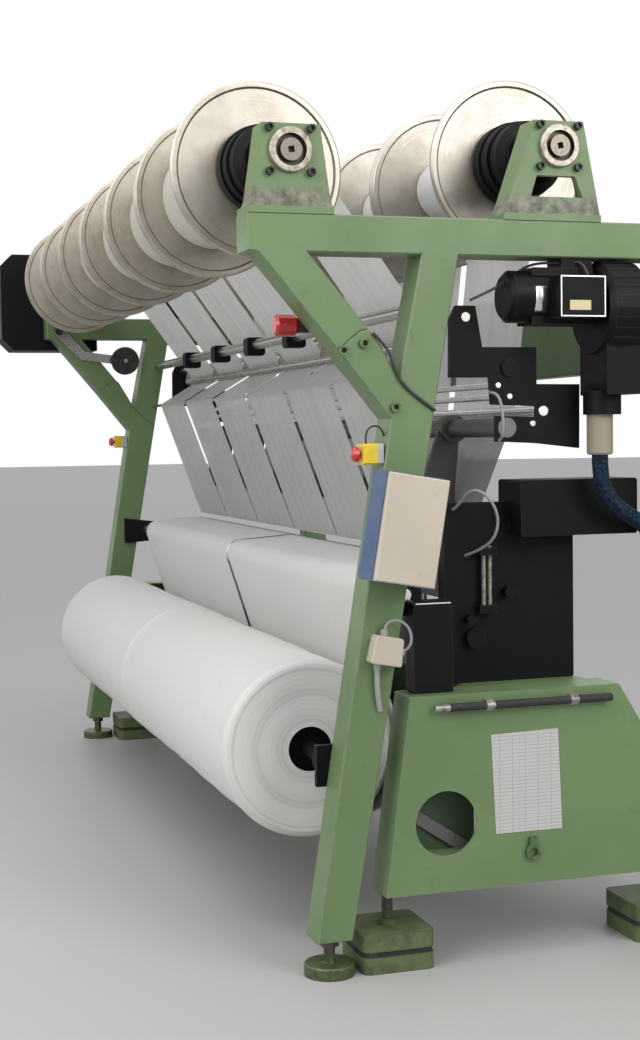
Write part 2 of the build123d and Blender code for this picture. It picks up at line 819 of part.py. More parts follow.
with BuildPart() as side_plates:
    for start_x, boss_x in ((inner_near - side_plate, inner_near), (inner_far, inner_far - 10)):
        plate(start_x, side_plate_outline, side_plate)
        bar(boss_x, boss_y, boss_z, 25, 10)
        bar(start_x, tension_pivot_y, tension_pivot_z, tension_pivot_dia / 2 + running_fit, side_plate,
            Mode.SUBTRACT)
        bar(start_x, swing_y, swing_z, swing_radius + running_fit, side_plate, Mode.SUBTRACT)
        bar(start_x, rear_rail_y, rear_rail_z, rail_radius + running_fit, side_plate, Mode.SUBTRACT)
        for rod_y, rod_z in rear_rods:
            bar(start_x, rod_y, rod_z, rear_rod_dia / 2 + running_fit, side_plate, Mode.SUBTRACT)
write(side_plates.part, "side_plates")
with BuildPart() as rear_rails:
    rail_length = 2 * frame_reach
    bar(inner_far, rear_rail_y, rear_rail_z, rail_radius, rail_length)
    for rod_y, rod_z in rear_rods:
        bar(inner_far, rod_y, rod_z, rear_rod_dia / 2, rail_length)
    chamfer(edges().filter_by(GeomType.CIRCLE), 2)
write(rear_rails.part, "rear_rails")

# Fixed rods of the front sheet: an edge rod and the tube that holds the clamp blocks
clamp_tube_y = -112
clamp_tube_z = 1962
clamp_tube_dia = 42
with BuildPart() as front_rods:
    bar(inner_far, edge_rod_y, edge_rod_z, edge_rod_dia / 2, rail_length)
    bar(inner_far, clamp_tube_y, clamp_tube_z, clamp_tube_dia / 2, rail_length)
write(front_rods.part, "front_rods")
clamp_block = 64
with BuildPart() as clamp_blocks:
    for number in range(1, sections):
        gap_x = beam_start + number * section_pitch
        block(gap_x - clamp_block / 2, gap_x + clamp_block / 2, clamp_tube_y - 38, clamp_tube_y + 38,
              clamp_tube_z - 44, clamp_tube_z + 30)
        chamfer(edges().filter_by(Axis.X).group_by(Axis.X)[-1], 8)
    bar(inner_far, clamp_tube_y, clamp_tube_z, clamp_tube_dia / 2 + running_fit, rail_length, Mode.SUBTRACT)
write(clamp_blocks.part, "clamp_blocks")

# Sprung tension rail: it rocks on a pivot tube, its arms pass between the webs
arm_thickness = 10
with BuildPart() as tension_rail:
    bar(inner_far, tension_pivot_y, tension_pivot_z, tension_pivot_dia / 2, rail_length)
    bar(beam_start, tension_y, tension_z, rail_radius, 2 * half_beam)
    for number in range(sections + 1):
        arm_x = beam_start + number * section_pitch - arm_thickness / 2
        link(arm_x, (tension_y, tension_z), rail_radius, (tension_pivot_y, tension_pivot_z),
             tension_pivot_dia / 2 + 3, arm_thickness)
write(tension_rail.part, "tension_rail")

# Swing shaft with hangers, and the two guide bars that slide in their lower notches
bar_depth = 26
bar_height = 50
bar_level = 1290
front_bar_y = 75
rear_bar_y = 131
bar_length = fabric_width + 120
hanger_thickness = 16
hanger_count = 6
hanger_hub = swing_radius + 16
notch_clear = 0.4
lead_pitch = 50.8
lead_width = 46
lead_drop = 100
lead_thickness = 4
with BuildPart() as swing_shaft:
    bar(inner_far, swing_y, swing_z, swing_radius, rail_length)
    for number in range(hanger_count):
        hanger_x = mid_x + (number - (hanger_count - 1) / 2) * hanger_pitch - hanger_thickness / 2
        bar(hanger_x - 20, swing_y, swing_z, hanger_hub, hanger_thickness + 40)
        plate(hanger_x, [
            (swing_y - hanger_hub, swing_z),
            (front_bar_y - 34, bar_level + bar_height + 70),
            (front_bar_y - 26, bar_level + bar_height - 24),
            (rear_bar_y + 26, bar_level + bar_height - 24),
            (rear_bar_y + 28, bar_level + bar_height + 70),
            (swing_y + hanger_hub * 0.6, swing_z),
        ], hanger_thickness)
    for bar_y in (front_bar_y, rear_bar_y):
        notch = bar_depth / 2 + notch_clear
        for number in range(hanger_count):
            hanger_x = mid_x + (number - (hanger_count - 1) / 2) * hanger_pitch
            block(hanger_x - hanger_thickness, hanger_x + hanger_thickness, bar_y - notch, bar_y + notch,
                  bar_level - 1, bar_level + bar_height + notch_clear, Mode.SUBTRACT)
write(swing_shaft.part, "swing_shaft")
for name, bar_y, lean in (("front", front_bar_y, 0.16), ("rear", rear_bar_y, 0.42)):
    with BuildPart() as guide_bar:
        block(mid_x - bar_length / 2, mid_x + bar_length / 2, bar_y - bar_depth / 2, bar_y + bar_depth / 2,
              bar_level, bar_level + bar_height)
        chamfer(edges().filter_by(Axis.X), 3)
        lead_plane = Plane(origin=(mid_x, bar_y, bar_level + 2), x_dir=(1, 0, 0), z_dir=(0, -1, lean))
        with BuildSketch(lead_plane) as leads:
            with GridLocations(lead_pitch, 1, int(fabric_width / lead_pitch), 1):
                with Locations((0, -lead_drop / 2)):
                    Rectangle(lead_width, lead_drop)
        extrude(leads.sketch, amount=lead_thickness / 2, both=True)
    write(guide_bar.part, "guide_bar_" + name)

# Needle bar on its push rods, and the fixed trick bar behind it on risers from the bed
needle_bar_top = knit_z - 56
needle_bar_height = 60
needle_reach = 50
with BuildPart() as needle_bar:
    block(mid_x - fabric_width / 2 - 40, mid_x + fabric_width / 2 + 40, needle_bar_front,
          needle_bar_front + needle_bar_depth, needle_bar_top - needle_bar_height, needle_bar_top)
    chamfer(edges().filter_by(Axis.X), 3)
    with BuildSketch(Plane(origin=(mid_x, knit_y, needle_bar_top), x_dir=(1, 0, 0), z_dir=(0, -1, 0))) as needles:
        with GridLocations(lead_pitch, 1, int(fabric_width / lead_pitch), 1):
            with Locations((0, needle_reach / 2)):
                Rectangle(lead_width, needle_reach)
    extrude(needles.sketch, amount=lead_thickness / 2, both=True)
    for number in range(rod_count):
        rod_x = mid_x + (number - (rod_count - 1) / 2) * hanger_pitch
        with Locations((rod_x, push_rod_y, bed_top - rod_depth)):
            Cylinder(push_rod_dia / 2, needle_bar_top - 10 - bed_top + rod_depth,
                     align=(Align.CENTER, Align.CENTER, Align.MIN))
write(needle_bar.part, "needle_bar")
trick_y = 82
trick_depth = 66
trick_bottom = knit_z - 86
trick_top = knit_z - 10
riser_width = 40
with BuildPart() as trick_bar:
    plate(mid_x - fabric_width / 2 - 40, [
        (trick_y, trick_bottom),
        (trick_y + trick_depth, trick_bottom),
        (trick_y + trick_depth, trick_bottom + 40),
        (trick_y + 22, trick_bottom + 60),
        (trick_y + 4, trick_top),
        (trick_y, trick_top),
    ], fabric_width + 80)
    for number in range(rod_count):
        riser_x = mid_x + (number - (rod_count - 1) / 2) * hanger_pitch + hanger_pitch / 8
        plate(riser_x, [
            (trick_y + 2, trick_bottom),
            (trick_y + trick_depth - 2, trick_bottom),
            (trick_y + 110, bed_top + 60),
            (trick_y + 150, bed_top),
            (trick_y + 2, bed_top),
        ], riser_width)
write(trick_bar.part, "trick_bar")
cam_offset = 5
cam_radius = main_shaft_dia / 2 + 6
shaft_over = 30
with BuildPart() as main_shaft:
    bar(sill_outer["far"] - shaft_over / 2, main_shaft_y, main_shaft_z, main_shaft_dia / 2,
        bed_length + shaft_over)
    for number in range(rod_count):
        cam_x = mid_x + (number - (rod_count - 1) / 2) * hanger_pitch - 20
        bar(cam_x, main_shaft_y + cam_offset * (-1) ** number, main_shaft_z, cam_radius, 40)
write(main_shaft.part, "main_shaft")
bearing_width = 20
bearing_outer_main = main_shaft_dia / 2 + 12
beam_bearings = [
    (face_x - stand_depth if outward > 0 else face_x, beam_y, beam_z)
    for beam_y, beam_z, package_radius in beams.values()
    for face_x, outward in stand_ends.values()
]
with BuildPart() as shaft_bearings:
    for ring_start, beam_y, beam_z in beam_bearings:
        bar(ring_start, beam_y, beam_z, bearing_outer, stand_depth)
        bar(ring_start, beam_y, beam_z, shaft_radius + running_fit, stand_depth, Mode.SUBTRACT)
    for start_x in (sill_outer["far"] + 4, sill_outer["near"] - 4 - bearing_width):
        bar(start_x, main_shaft_y, main_shaft_z, bearing_outer_main, bearing_width)
        bar(start_x, main_shaft_y, main_shaft_z, main_shaft_dia / 2 + running_fit, bearing_width, Mode.SUBTRACT)
write(shaft_bearings.part, "shaft_bearings")

# Rear cross beam and the lower tie tube that hold the two end frames together
tie_depth = 90
tie_height = 306
with BuildPart() as cross_beams:
    block(inner_far, inner_near, rear_leg_top_y - tie_depth / 2, rear_leg_top_y + tie_depth / 2,
          top_beam_bottom - tie_height - 20, top_beam_bottom - 20)
    chamfer(edges().filter_by(Axis.X), 6)
    bar(inner_far, rear_leg_foot_y - 60, 420, 45, rail_length)
write(cross_beams.part, "cross_beams")

# Control cabinet on a bracket plate outside the leaning post, with its door
cabinet = [(-381, 1172), (-194, 1140), (-142, 1452), (-329, 1484)]
cabinet_bracket = 12
door_thickness = 18
cabinet_back = near_face + cabinet_bracket
cabinet_front = near_face + cabinet_reach - door_thickness - seat_gap
with BuildPart() as control_cabinet:
    plate(cabinet_back, cabinet, cabinet_front - cabinet_back)
    chamfer(edges().filter_by(Axis.X), 5)
    bar(near_face, (cabinet[0][0] + cabinet[2][0]) / 2, (cabinet[0][1] + cabinet[2][1]) / 2, 40,
        cabinet_bracket)
write(control_cabinet.part, "control_cabinet")
door_inset = 3
hinge_dia = 12
with BuildPart() as cabinet_door:
    with BuildSketch(upright(cabinet_front + seat_gap)) as door:
        with BuildLine():
            Polyline(*cabinet, close=True)
        make_face()
        offset(amount=-door_inset, kind=Kind.INTERSECTION)
    extrude(door.sketch, amount=door_thickness)
    chamfer(faces().sort_by(Axis.X)[-1].edges(), 4)
write(cabinet_door.part, "cabinet_door")

# Emergency stops on the front edges of both leaning legs, with mushrooms that face forward
stop_box = 62
stop_rise = 1496
far_stop_rise = 1536
mushroom_dia = 44
stop_travel = 6
leg_edge = (leg_outline[-1], leg_outline[0])
stop_places = {
    "near": (near_face - stop_box / 2 - 6, on_line(*leg_edge, stop_rise) - seat_gap, stop_rise),
    "far": (inner_far - stop_box / 2 - 6, on_line(*leg_edge, far_stop_rise) - seat_gap, far_stop_rise),
}
with BuildPart() as e_stop_boxes:
    for stop_x, stop_y, stop_z in stop_places.values():
        block(stop_x - stop_box / 2, stop_x + stop_box / 2, stop_y - stop_box, stop_y, stop_z, stop_z + stop_box)
    chamfer(edges().filter_by(Axis.Y), 6)
    for stop_x, stop_y, stop_z in stop_places.values():
        with Locations(Location((stop_x, stop_y - stop_box + 8, stop_z + stop_box / 2), (90, 0, 0))):
            Cylinder(10, 20, mode=Mode.SUBTRACT)
write(e_stop_boxes.part, "e_stop_boxes")
for end, (stop_x, stop_y, stop_z) in stop_places.items():
    with BuildPart() as e_stop_button:
        face_y = stop_y - stop_box
        axis = Axis((stop_x, face_y, stop_z + stop_box / 2), (0, 1, 0))
        with BuildSketch(Plane(origin=axis.position, x_dir=(1, 0, 0), z_dir=(0, 0, -1))) as mushroom:
            with BuildLine():
                Polyline((0, -8), (9, -8), (9, stop_travel + 2), (mushroom_dia / 2, stop_travel + 2),
                         (mushroom_dia / 2, stop_travel + 12), (mushroom_dia / 2 - 8, stop_travel + 20),
                         (0, stop_travel + 22), close=True)
            make_face()
        revolve(mushroom.sketch, axis=axis)
    write(e_stop_button.part, "e_stop_button_" + end)

# Junction box on the leaning post, and the beam sensor with its lamp under the brace
junction = [(-355, 926), (-260, 909), (-252, 991), (-336, 1007)]
junction_depth = 46
with BuildPart() as junction_box:
    plate(near_face, junction, junction_depth)
    chamfer(edges().filter_by(Axis.X), 5)
    chamfer(faces().sort_by(Axis.X)[-1].edges(), 3)
write(junction_box.part, "junction_box")
lamp_x = inner_near - 30
lamp_z = 1906
lamp_front = -575
lamp_back = -507
lamp_dia = 64
with BuildPart() as sensor_lamp:
    with Locations(Location((lamp_x, (lamp_front + lamp_back) / 2, lamp_z), (90, 0, 0))):
        Cylinder(lamp_dia / 2, lamp_back - lamp_front)
    chamfer(edges().filter_by(GeomType.CIRCLE), 8)
    block(lamp_x - 26, inner_near, lamp_back, lamp_back + 68, lamp_z - 22, lamp_z + 22)
write(sensor_lamp.part, "sensor_lamp")

# Suction blower hung under the top beam: motor, ribbed fan housing and outlet pipe
blower_x = near_face - frame_depth / 2
motor_z = 1990
motor_dia = 156
motor_front = 113
fan_front = 402
fan_width = 138
fan_dia = 290
fan_z = top_beam_bottom - fan_dia / 2 - 5
fan_ribs = 28
pipe_y = 432
pipe_top = 1636
pipe_bottom = 1513
pipe_dia = 80
port_height = 60
terminal_height = 124
terminal_length = 150
with BuildPart() as blower_motor:
    with Locations(Location((blower_x, (motor_front + fan_front) / 2, motor_z), (90, 0, 0))):
        Cylinder(motor_dia / 2, fan_front - motor_front)
    chamfer(edges().filter_by(GeomType.CIRCLE).group_by(Axis.Y)[0], 14)
    for level in (-1, 1):
        for rib in range(5):
            rib_x = blower_x + (rib - 2) * 26
            block(rib_x - 3, rib_x + 3, motor_front + 70, fan_front - 20, motor_z + level * 60,
                  motor_z + level * (motor_dia / 2 + 6))
    block(blower_x + 40, blower_x + motor_dia / 2 + 52, fan_front - 14 - terminal_length, fan_front - 14,
          motor_z - terminal_height / 2 - 6, motor_z + terminal_height / 2 - 6)
    block(blower_x - 50, blower_x + 50, fan_front - 120, fan_front - 20, motor_z + 60, top_beam_bottom)
write(blower_motor.part, "blower_motor")
with BuildPart() as blower_housing:
    with Locations(Location((blower_x, fan_front + fan_width / 2, fan_z), (90, 0, 0))):
        Cylinder(fan_dia / 2, fan_width)
    chamfer(edges().filter_by(GeomType.CIRCLE), 16)
    for number in range(fan_ribs):
        angle = 360 * number / fan_ribs
        with Locations(Plane(origin=(blower_x, fan_front + fan_width / 2, fan_z), z_dir=(0, -1, 0))
                       * Location((0, 0, 0), (0, 0, angle)) * Location((fan_dia / 2 - 2, 0, 0))):
            Box(8, 6, fan_width - 36)
    block(blower_x - 90, blower_x + 90, fan_front + 10, fan_front + fan_width - 10, pipe_top + port_height,
          fan_z - 60)
    with Locations((blower_x, pipe_y + 8, pipe_top)):
        Cylinder(pipe_dia / 2 + 18, port_height + 10, align=(Align.CENTER, Align.CENTER, Align.MIN))
write(blower_housing.part, "blower_housing")
with BuildPart() as blower_pipe:
    with Locations((blower_x, pipe_y, pipe_bottom)):
        Cylinder(pipe_dia / 2, pipe_top - pipe_bottom, align=(Align.CENTER, Align.CENTER, Align.MIN))
    chamfer(edges().filter_by(GeomType.CIRCLE).sort_by(Axis.Z)[0], 6)
write(blower_pipe.part, "blower_pipe")

# Suction hose from the blower pipe down to its socket on the bed
hose_dia = 50
hose_socket_x = sill_outer["near"] - sill_width / 2
hose_socket_z = sill_bottom + sill_height + 20
hose_route = [
    (blower_x, pipe_y, pipe_bottom),
    (blower_x, pipe_y, pipe_bottom - 70),
    (blower_x - 3, pipe_y + 30, pipe_bottom - 137),
    (blower_x - 9, pipe_y + 98, pipe_bottom - 187),
    (blower_x - 19, pipe_y + 172, pipe_bottom - 223),
    (blower_x - 29, pipe_y + 202, pipe_bottom - 303),
    (blower_x - 37, pipe_y + 208, pipe_bottom - 433),
    (blower_x - 43, rear_pad_y + 12, pipe_bottom - 613),
    (blower_x - 47, rear_pad_y + 17, pipe_bottom - 813),
    (hose_socket_x, rear_pad_y + 20, pipe_bottom - 1013),
    (hose_socket_x, rear_pad_y + 20, hose_socket_z),
]
hose_bends = []
for before, corner, after in zip(hose_route, hose_route[1:], hose_route[2:]):
    arriving = Vector(corner) - Vector(before)
    leaving = Vector(after) - Vector(corner)
    half_turn = radians(arriving.get_angle(leaving)) / 2
    shorter = min(arriving.length, leaving.length)
    hose_bends.append(0.45 * shorter * cos(half_turn) / sin(half_turn))
print("hose bend radii", [round(bend) for bend in hose_bends])
with BuildPart() as suction_hose:
    with BuildLine() as hose_path:
        FilletPolyline(*hose_route, radius=hose_bends)
    with BuildSketch(Plane(origin=hose_path.line @ 0, z_dir=hose_path.line % 0)) as hose_round:
        Circle(hose_dia / 2)
    sweep(hose_round.sketch, path=hose_path.line)
write(suction_hose.part, "suction_hose")
hose_length = sum(edge.length for edge in hose_path.line.edges())
print("hose length", round(hose_length), "volume share",
      round(suction_hose.part.volume / (pi * hose_dia**2 / 4 * hose_length), 4))

# Drive cases on the near end: pattern drive on its column, gear box on the housing
pattern_front = 200
pattern_rear = 599
pattern_bottom = 1264
pattern_top = 1438
case_x = inner_near - 14
case_width = 170
column_front = -20
column_top = 1369
column_face = case_x - 90
gear_front = -190
gear_rear = -66
gear_top = 1088
knobs = [((54, 1011), 13, 44), ((75, 951), 31, 30), ((186, 1090), 16, 36)]
lift_rods = [104, 124]
lift_rod_dia = 14
lift_rod_bottom = 1040
lift_rod_top = 1218
with BuildPart() as drive_cases:
    block(case_x - case_width, case_x, pattern_front, pattern_rear, pattern_bottom, pattern_top)
    block(case_x - case_width + 30, column_face, column_front, bed_rear - 20, bed_top, column_top)
    block(case_x + 20, case_x + 90, gear_front, gear_rear, housing_top, gear_top)
    chamfer(edges().filter_by(Axis.X), 6)
    for knob_centre, knob_radius, knob_reach in knobs:
        bar(column_face, *knob_centre, knob_radius, knob_reach)
    for level in (lift_rod_bottom, lift_rod_top):
        block(column_face, column_face + 34, lift_rods[0] - 18, lift_rods[1] + 18, level - 12, level + 12)
        for rod_y in lift_rods:
            with Locations((column_face + 20, rod_y, level)):
                Cylinder(lift_rod_dia / 2 + running_fit, 24, mode=Mode.SUBTRACT)
    with Locations(hose_route[-1]):
        Cylinder(hose_dia / 2 + 8, hose_route[-1][2] - sill_bottom - sill_height,
                 align=(Align.CENTER, Align.CENTER, Align.MAX))
write(drive_cases.part, "drive_cases")

# Measuring arm with its feeler wheel, on the inner face of the far frame
feeler_pivot = (-632, 2142)
feeler_elbow = (-510, 2017)
feeler_wheel_centre = (-293, 1990)
feeler_wheel_dia = 144
feeler_thickness = 14
feeler_x = inner_far + 6
pivot_pin_dia = 24
with BuildPart() as feeler_arm:
    link(feeler_x, feeler_pivot, 30, feeler_elbow, 22, feeler_thickness)
    link(feeler_x, feeler_elbow, 22, feeler_wheel_centre, 22, feeler_thickness)
    bar(feeler_x, *feeler_wheel_centre, 10, feeler_thickness + 40)
    bar(feeler_x, *feeler_pivot, pivot_pin_dia / 2 + running_fit, feeler_thickness, Mode.SUBTRACT)
write(feeler_arm.part, "feeler_arm")
with BuildPart() as feeler_wheel:
    bar(feeler_x + feeler_thickness + 1, *feeler_wheel_centre, feeler_wheel_dia / 2, 36)
    chamfer(edges().filter_by(GeomType.CIRCLE), 5)
    bar(feeler_x + feeler_thickness + 1, *feeler_wheel_centre, 10 + running_fit, 36, Mode.SUBTRACT)
write(feeler_wheel.part, "feeler_wheel")
# Screws of the near stands and of the brace joint, the measuring arm's pin and collar, the rest
# bar in its clips and the lifting hook on the near end housing
brace_screws = [(-413, 1826), (-349, 1847), (-256, 1663)]
rest_bar_dia = 22
rest_bar_z = 778
rest_bar_front = -150
rest_bar_rear = 426
clip_width = 26
clip_places = [27, 302]
rest_bar_x = near_face + 8 + rest_bar_dia / 2
hook_y = 168
hook_z = 322
hook_radius = 24
hook_wire = 10
with BuildPart() as fasteners:
    for beam_y, beam_z, package_radius in beams.values():
        face_screws(near_face, beam_y, beam_z, stand_plate, 1)
    bar(inner_far, *feeler_pivot, pivot_pin_dia / 2, feeler_thickness + 8)
    bar(inner_far, *feeler_pivot, pivot_pin_dia, 5)
    bar(feeler_x + feeler_thickness + 0.4, *feeler_pivot, pivot_pin_dia * 0.8, 8)
    for screw_y, screw_z in brace_screws:
        bar(near_face, screw_y, screw_z, 15, 11)
        bar(near_face + 7, screw_y, screw_z, 7, 4, Mode.SUBTRACT)
    for clip_y in clip_places:
        block(near_face, rest_bar_x, clip_y - clip_width / 2, clip_y + clip_width / 2,
              rest_bar_z - rest_bar_dia / 2 - 4, rest_bar_z + rest_bar_dia / 2 + 4)
    with Locations(Location((rest_bar_x, rest_bar_rear, rest_bar_z), (90, 0, 0))):
        Cylinder(rest_bar_dia / 2, rest_bar_rear - rest_bar_front,
                 align=(Align.CENTER, Align.CENTER, Align.MIN))
    for rod_y in lift_rods:
        with Locations((column_face + 20, rod_y, lift_rod_bottom - 12)):
            Cylinder(lift_rod_dia / 2, lift_rod_top - lift_rod_bottom + 30,
                     align=(Align.CENTER, Align.CENTER, Align.MIN))
    bar(near_face + 4, hook_y, hook_z, hook_radius, hook_wire)
    bar(near_face + 4, hook_y, hook_z, hook_radius - hook_wire, hook_wire, Mode.SUBTRACT)
    block(near_face, near_face + 14, hook_y - 12, hook_y + 12, hook_z + hook_radius - 4, hook_z + 44)
write(fasteners.part, "fasteners")
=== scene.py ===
"""Looks of the warp knitting machine: finishes, yarn sheets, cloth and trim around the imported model."""

import logging
import math
from collections.abc import Sequence
from dataclasses import dataclass, field
from enum import Enum

import bpy
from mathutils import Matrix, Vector


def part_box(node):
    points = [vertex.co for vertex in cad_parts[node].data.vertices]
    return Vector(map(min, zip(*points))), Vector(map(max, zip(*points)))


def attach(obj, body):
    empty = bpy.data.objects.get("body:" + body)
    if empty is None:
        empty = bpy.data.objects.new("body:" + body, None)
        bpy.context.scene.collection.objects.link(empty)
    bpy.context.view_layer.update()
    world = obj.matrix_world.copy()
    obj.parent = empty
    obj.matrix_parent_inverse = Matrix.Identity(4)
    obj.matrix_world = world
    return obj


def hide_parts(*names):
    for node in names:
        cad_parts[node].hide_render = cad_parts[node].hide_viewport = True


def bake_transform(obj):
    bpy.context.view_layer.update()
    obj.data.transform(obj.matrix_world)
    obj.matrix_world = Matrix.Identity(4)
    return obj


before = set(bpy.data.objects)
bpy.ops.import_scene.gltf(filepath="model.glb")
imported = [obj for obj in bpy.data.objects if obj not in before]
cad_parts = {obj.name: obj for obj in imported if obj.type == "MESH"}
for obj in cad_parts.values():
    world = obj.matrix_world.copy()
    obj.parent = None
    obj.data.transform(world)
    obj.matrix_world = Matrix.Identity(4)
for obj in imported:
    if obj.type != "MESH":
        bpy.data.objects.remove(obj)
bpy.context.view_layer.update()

LOG = logging.getLogger("warp_knitting_machine")
ROOT_BODY = "machine"
Colour = tuple[float, float, float]
Point = tuple[float, float, float]
Outline = list[tuple[float, float]]
Source = bpy.types.NodeSocket | Colour | float
BLANK: Colour = (0.0, 0.0, 0.0)
FULL: Colour = (1.0, 1.0, 1.0)
FRONT_BEAM_AXIS = (-0.562, 2.388)
REAR_BEAM_AXIS = (0.270, 2.432)
BRACE_SCREWS = ((-0.413, 1.826), (-0.349, 1.847), (-0.256, 1.663))
HOOK_EYE = (0.168, 0.322)
PAINTED_HEADS = (*BRACE_SCREWS, HOOK_EYE)


class Grain(Enum):
    """Direction in which a finish is drawn out."""

    NONE = (1.0, 1.0, 1.0)
    ALONG_X = (0.04, 1.0, 1.0)


def grey(level: float) -> Colour:
    """Neutral colour of one level."""
    return (level,) * 3


def shaded(colour: Colour, factor: float) -> Colour:
    """Colour made darker or lighter by a factor, without clipping."""
    return tuple(min(1.0, channel * factor) for channel in colour)


class Graph:
    """Small helper that adds and links the nodes of one material."""

    def __init__(self, name: str) -> None:
        """Start an empty material with a Principled shader.

        Args:
            name: Name of the material.
        """
        self.material = bpy.data.materials.new(name)
        self.material.use_nodes = True
        self.tree = self.material.node_tree
        self.shader = self.tree.nodes["Principled BSDF"]
        self.output = self.tree.nodes["Material Output"]

    def add(self, kind: str, **settings: object) -> bpy.types.Node:
        """Add a node and set its properties.

        Args:
            kind: Blender's type name of the node.
            settings: Properties to set on it.

        Returns:
            The new node.
        """
        node = self.tree.nodes.new(kind)
        for key, value in settings.items():
            setattr(node, key, value)
        return node

    def link(self, source: bpy.types.NodeSocket, target: bpy.types.NodeSocket) -> None:
        """Link two sockets."""
        self.tree.links.new(source, target)

    def coordinates(self, stretch: Point = FULL) -> bpy.types.NodeSocket:
        """Object coordinates, scaled per axis.

        Args:
            stretch: Scale along each axis.

        Returns:
            The vector socket.
        """
        coords = self.add("ShaderNodeTexCoord")
        mapping = self.add("ShaderNodeMapping")
        mapping.inputs["Scale"].default_value = stretch
        self.link(coords.outputs["Object"], mapping.inputs["Vector"])
        return mapping.outputs["Vector"]

    def noise(self, scale: float, stretch: Point = FULL, detail: float = 4.0,
              roughness: float = 0.55) -> bpy.types.NodeSocket:
        """Noise over the object's own coordinates.

        Args:
            scale: Features per metre.
            stretch: Scale along each axis.
            detail: Octaves.
            roughness: Share of each finer octave.

        Returns:
            The factor socket.
        """
        node = self.add("ShaderNodeTexNoise")
        node.inputs["Scale"].default_value = scale
        node.inputs["Detail"].default_value = detail
        node.inputs["Roughness"].default_value = roughness
        self.link(self.coordinates(stretch), node.inputs["Vector"])
        return node.outputs["Fac"]

    def ramp(self, value: bpy.types.NodeSocket,
             stops: Sequence[tuple[float, Colour]]) -> bpy.types.NodeSocket:
        """Colour ramp over a value.

        Args:
            value: Socket that drives the ramp.
            stops: Position and colour of each stop.

        Returns:
            The colour socket.
        """
        node = self.add("ShaderNodeValToRGB")
        elements = node.color_ramp.elements
        while len(elements) < len(stops):
            elements.new(0.5)
        for element, (position, colour) in zip(elements, stops):
            element.position = position
            element.color = (*colour, 1.0)
        self.link(value, node.inputs["Fac"])
        return node.outputs["Color"]

    def mix(self, factor: Source, first: Source, second: Source,
            mode: str = "MIX") -> bpy.types.NodeSocket:
        """Mix two colours by a factor.

        Args:
            factor: Share of the second colour, a socket or a number.
            first: First colour, a socket or a constant.
            second: Second colour, a socket or a constant.
            mode: Blend mode.

        Returns:
            The mixed colour socket.
        """
        node = self.add("ShaderNodeMix", data_type="RGBA", blend_type=mode)
        for source, target in ((factor, node.inputs[0]), (first, node.inputs[6]), (second, node.inputs[7])):
            if isinstance(source, bpy.types.NodeSocket):
                self.link(source, target)
            else:
                target.default_value = (*source, 1.0) if isinstance(source, tuple) else source
        return node.outputs[2]

    def bands(self, axis: str, per_metre: float, stretch: Point = FULL) -> bpy.types.Node:
        """Wave of even bands across an axis.

        Args:
            axis: "X", "Y" or "Z".
            per_metre: Number of bands in a metre.
            stretch: Scale along each axis.

        Returns:
            The wave node.
        """
        wave = self.add("ShaderNodeTexWave", wave_type="BANDS", bands_direction=axis)
        wave.inputs["Scale"].default_value = per_metre * math.tau / 20.0
        self.link(self.coordinates(stretch), wave.inputs["Vector"])
        return wave

    def distance(self, centre: tuple[float, float]) -> bpy.types.NodeSocket:
        """Distance from an axis along X.

        Args:
            centre: Where the axis crosses the YZ plane, in metres.

        Returns:
            The distance socket, in metres.
        """
        coords = self.add("ShaderNodeTexCoord")
        moved = self.add("ShaderNodeVectorMath", operation="SUBTRACT")
        moved.inputs[1].default_value = (0.0, *centre)
        self.link(coords.outputs["Object"], moved.inputs[0])
        flat = self.add("ShaderNodeVectorMath", operation="MULTIPLY")
        flat.inputs[1].default_value = (0.0, 1.0, 1.0)
        self.link(moved.outputs["Vector"], flat.inputs[0])
        length = self.add("ShaderNodeVectorMath", operation="LENGTH")
        self.link(flat.outputs["Vector"], length.inputs[0])
        return length.outputs["Value"]

    def nearest(self, centres: tuple[tuple[float, float], ...]) -> bpy.types.NodeSocket:
        """Distance from the nearest of several axes along X.

        Args:
            centres: Where each axis crosses the YZ plane, in metres.

        Returns:
            The distance socket, in metres.
        """
        least = self.distance(centres[0])
        for centre in centres[1:]:
            pick = self.add("ShaderNodeMath", operation="MINIMUM")
            self.link(least, pick.inputs[0])
            self.link(self.distance(centre), pick.inputs[1])
            least = pick.outputs["Value"]
        return least

    def between(self, value: bpy.types.NodeSocket, low: float, high: float) -> bpy.types.NodeSocket:
        """Mask that climbs from 0 to 1 between two values.

        Args:
            value: Socket that drives the mask.
            low: Value where the mask is 0.
            high: Value where the mask is 1.

        Returns:
            The mask socket.
        """
        climb = self.add("ShaderNodeMapRange")
        climb.inputs["From Min"].default_value = low
        climb.inputs["From Max"].default_value = high
        self.link(value, climb.inputs["Value"])
        return climb.outputs["Result"]

    def along(self, axis: str) -> bpy.types.NodeSocket:
        """Place along one axis of the object, in metres.

        Args:
            axis: "X", "Y" or "Z", where Z is the height above the floor.

        Returns:
            The coordinate socket.
        """
        coords = self.add("ShaderNodeTexCoord")
        apart = self.add("ShaderNodeSeparateXYZ")
        self.link(coords.outputs["Object"], apart.inputs["Vector"])
        return apart.outputs[axis]

    def gloss(self, source: bpy.types.NodeSocket, roughness: float, less: float, more: float) -> None:
        """Let the roughness swing about its mean with a source.

        Args:
            source: Socket that drives the swing.
            roughness: Mean roughness.
            less: How far it falls below the mean.
            more: How far it climbs above it.
        """
        swing = self.ramp(source, [(0.3, grey(roughness - less)), (0.7, grey(roughness + more))])
        self.link(swing, self.shader.inputs["Roughness"])

    def colour(self, source: bpy.types.NodeSocket) -> None:
        """Use a socket as the colour of the finish."""
        self.link(source, self.shader.inputs["Base Color"])

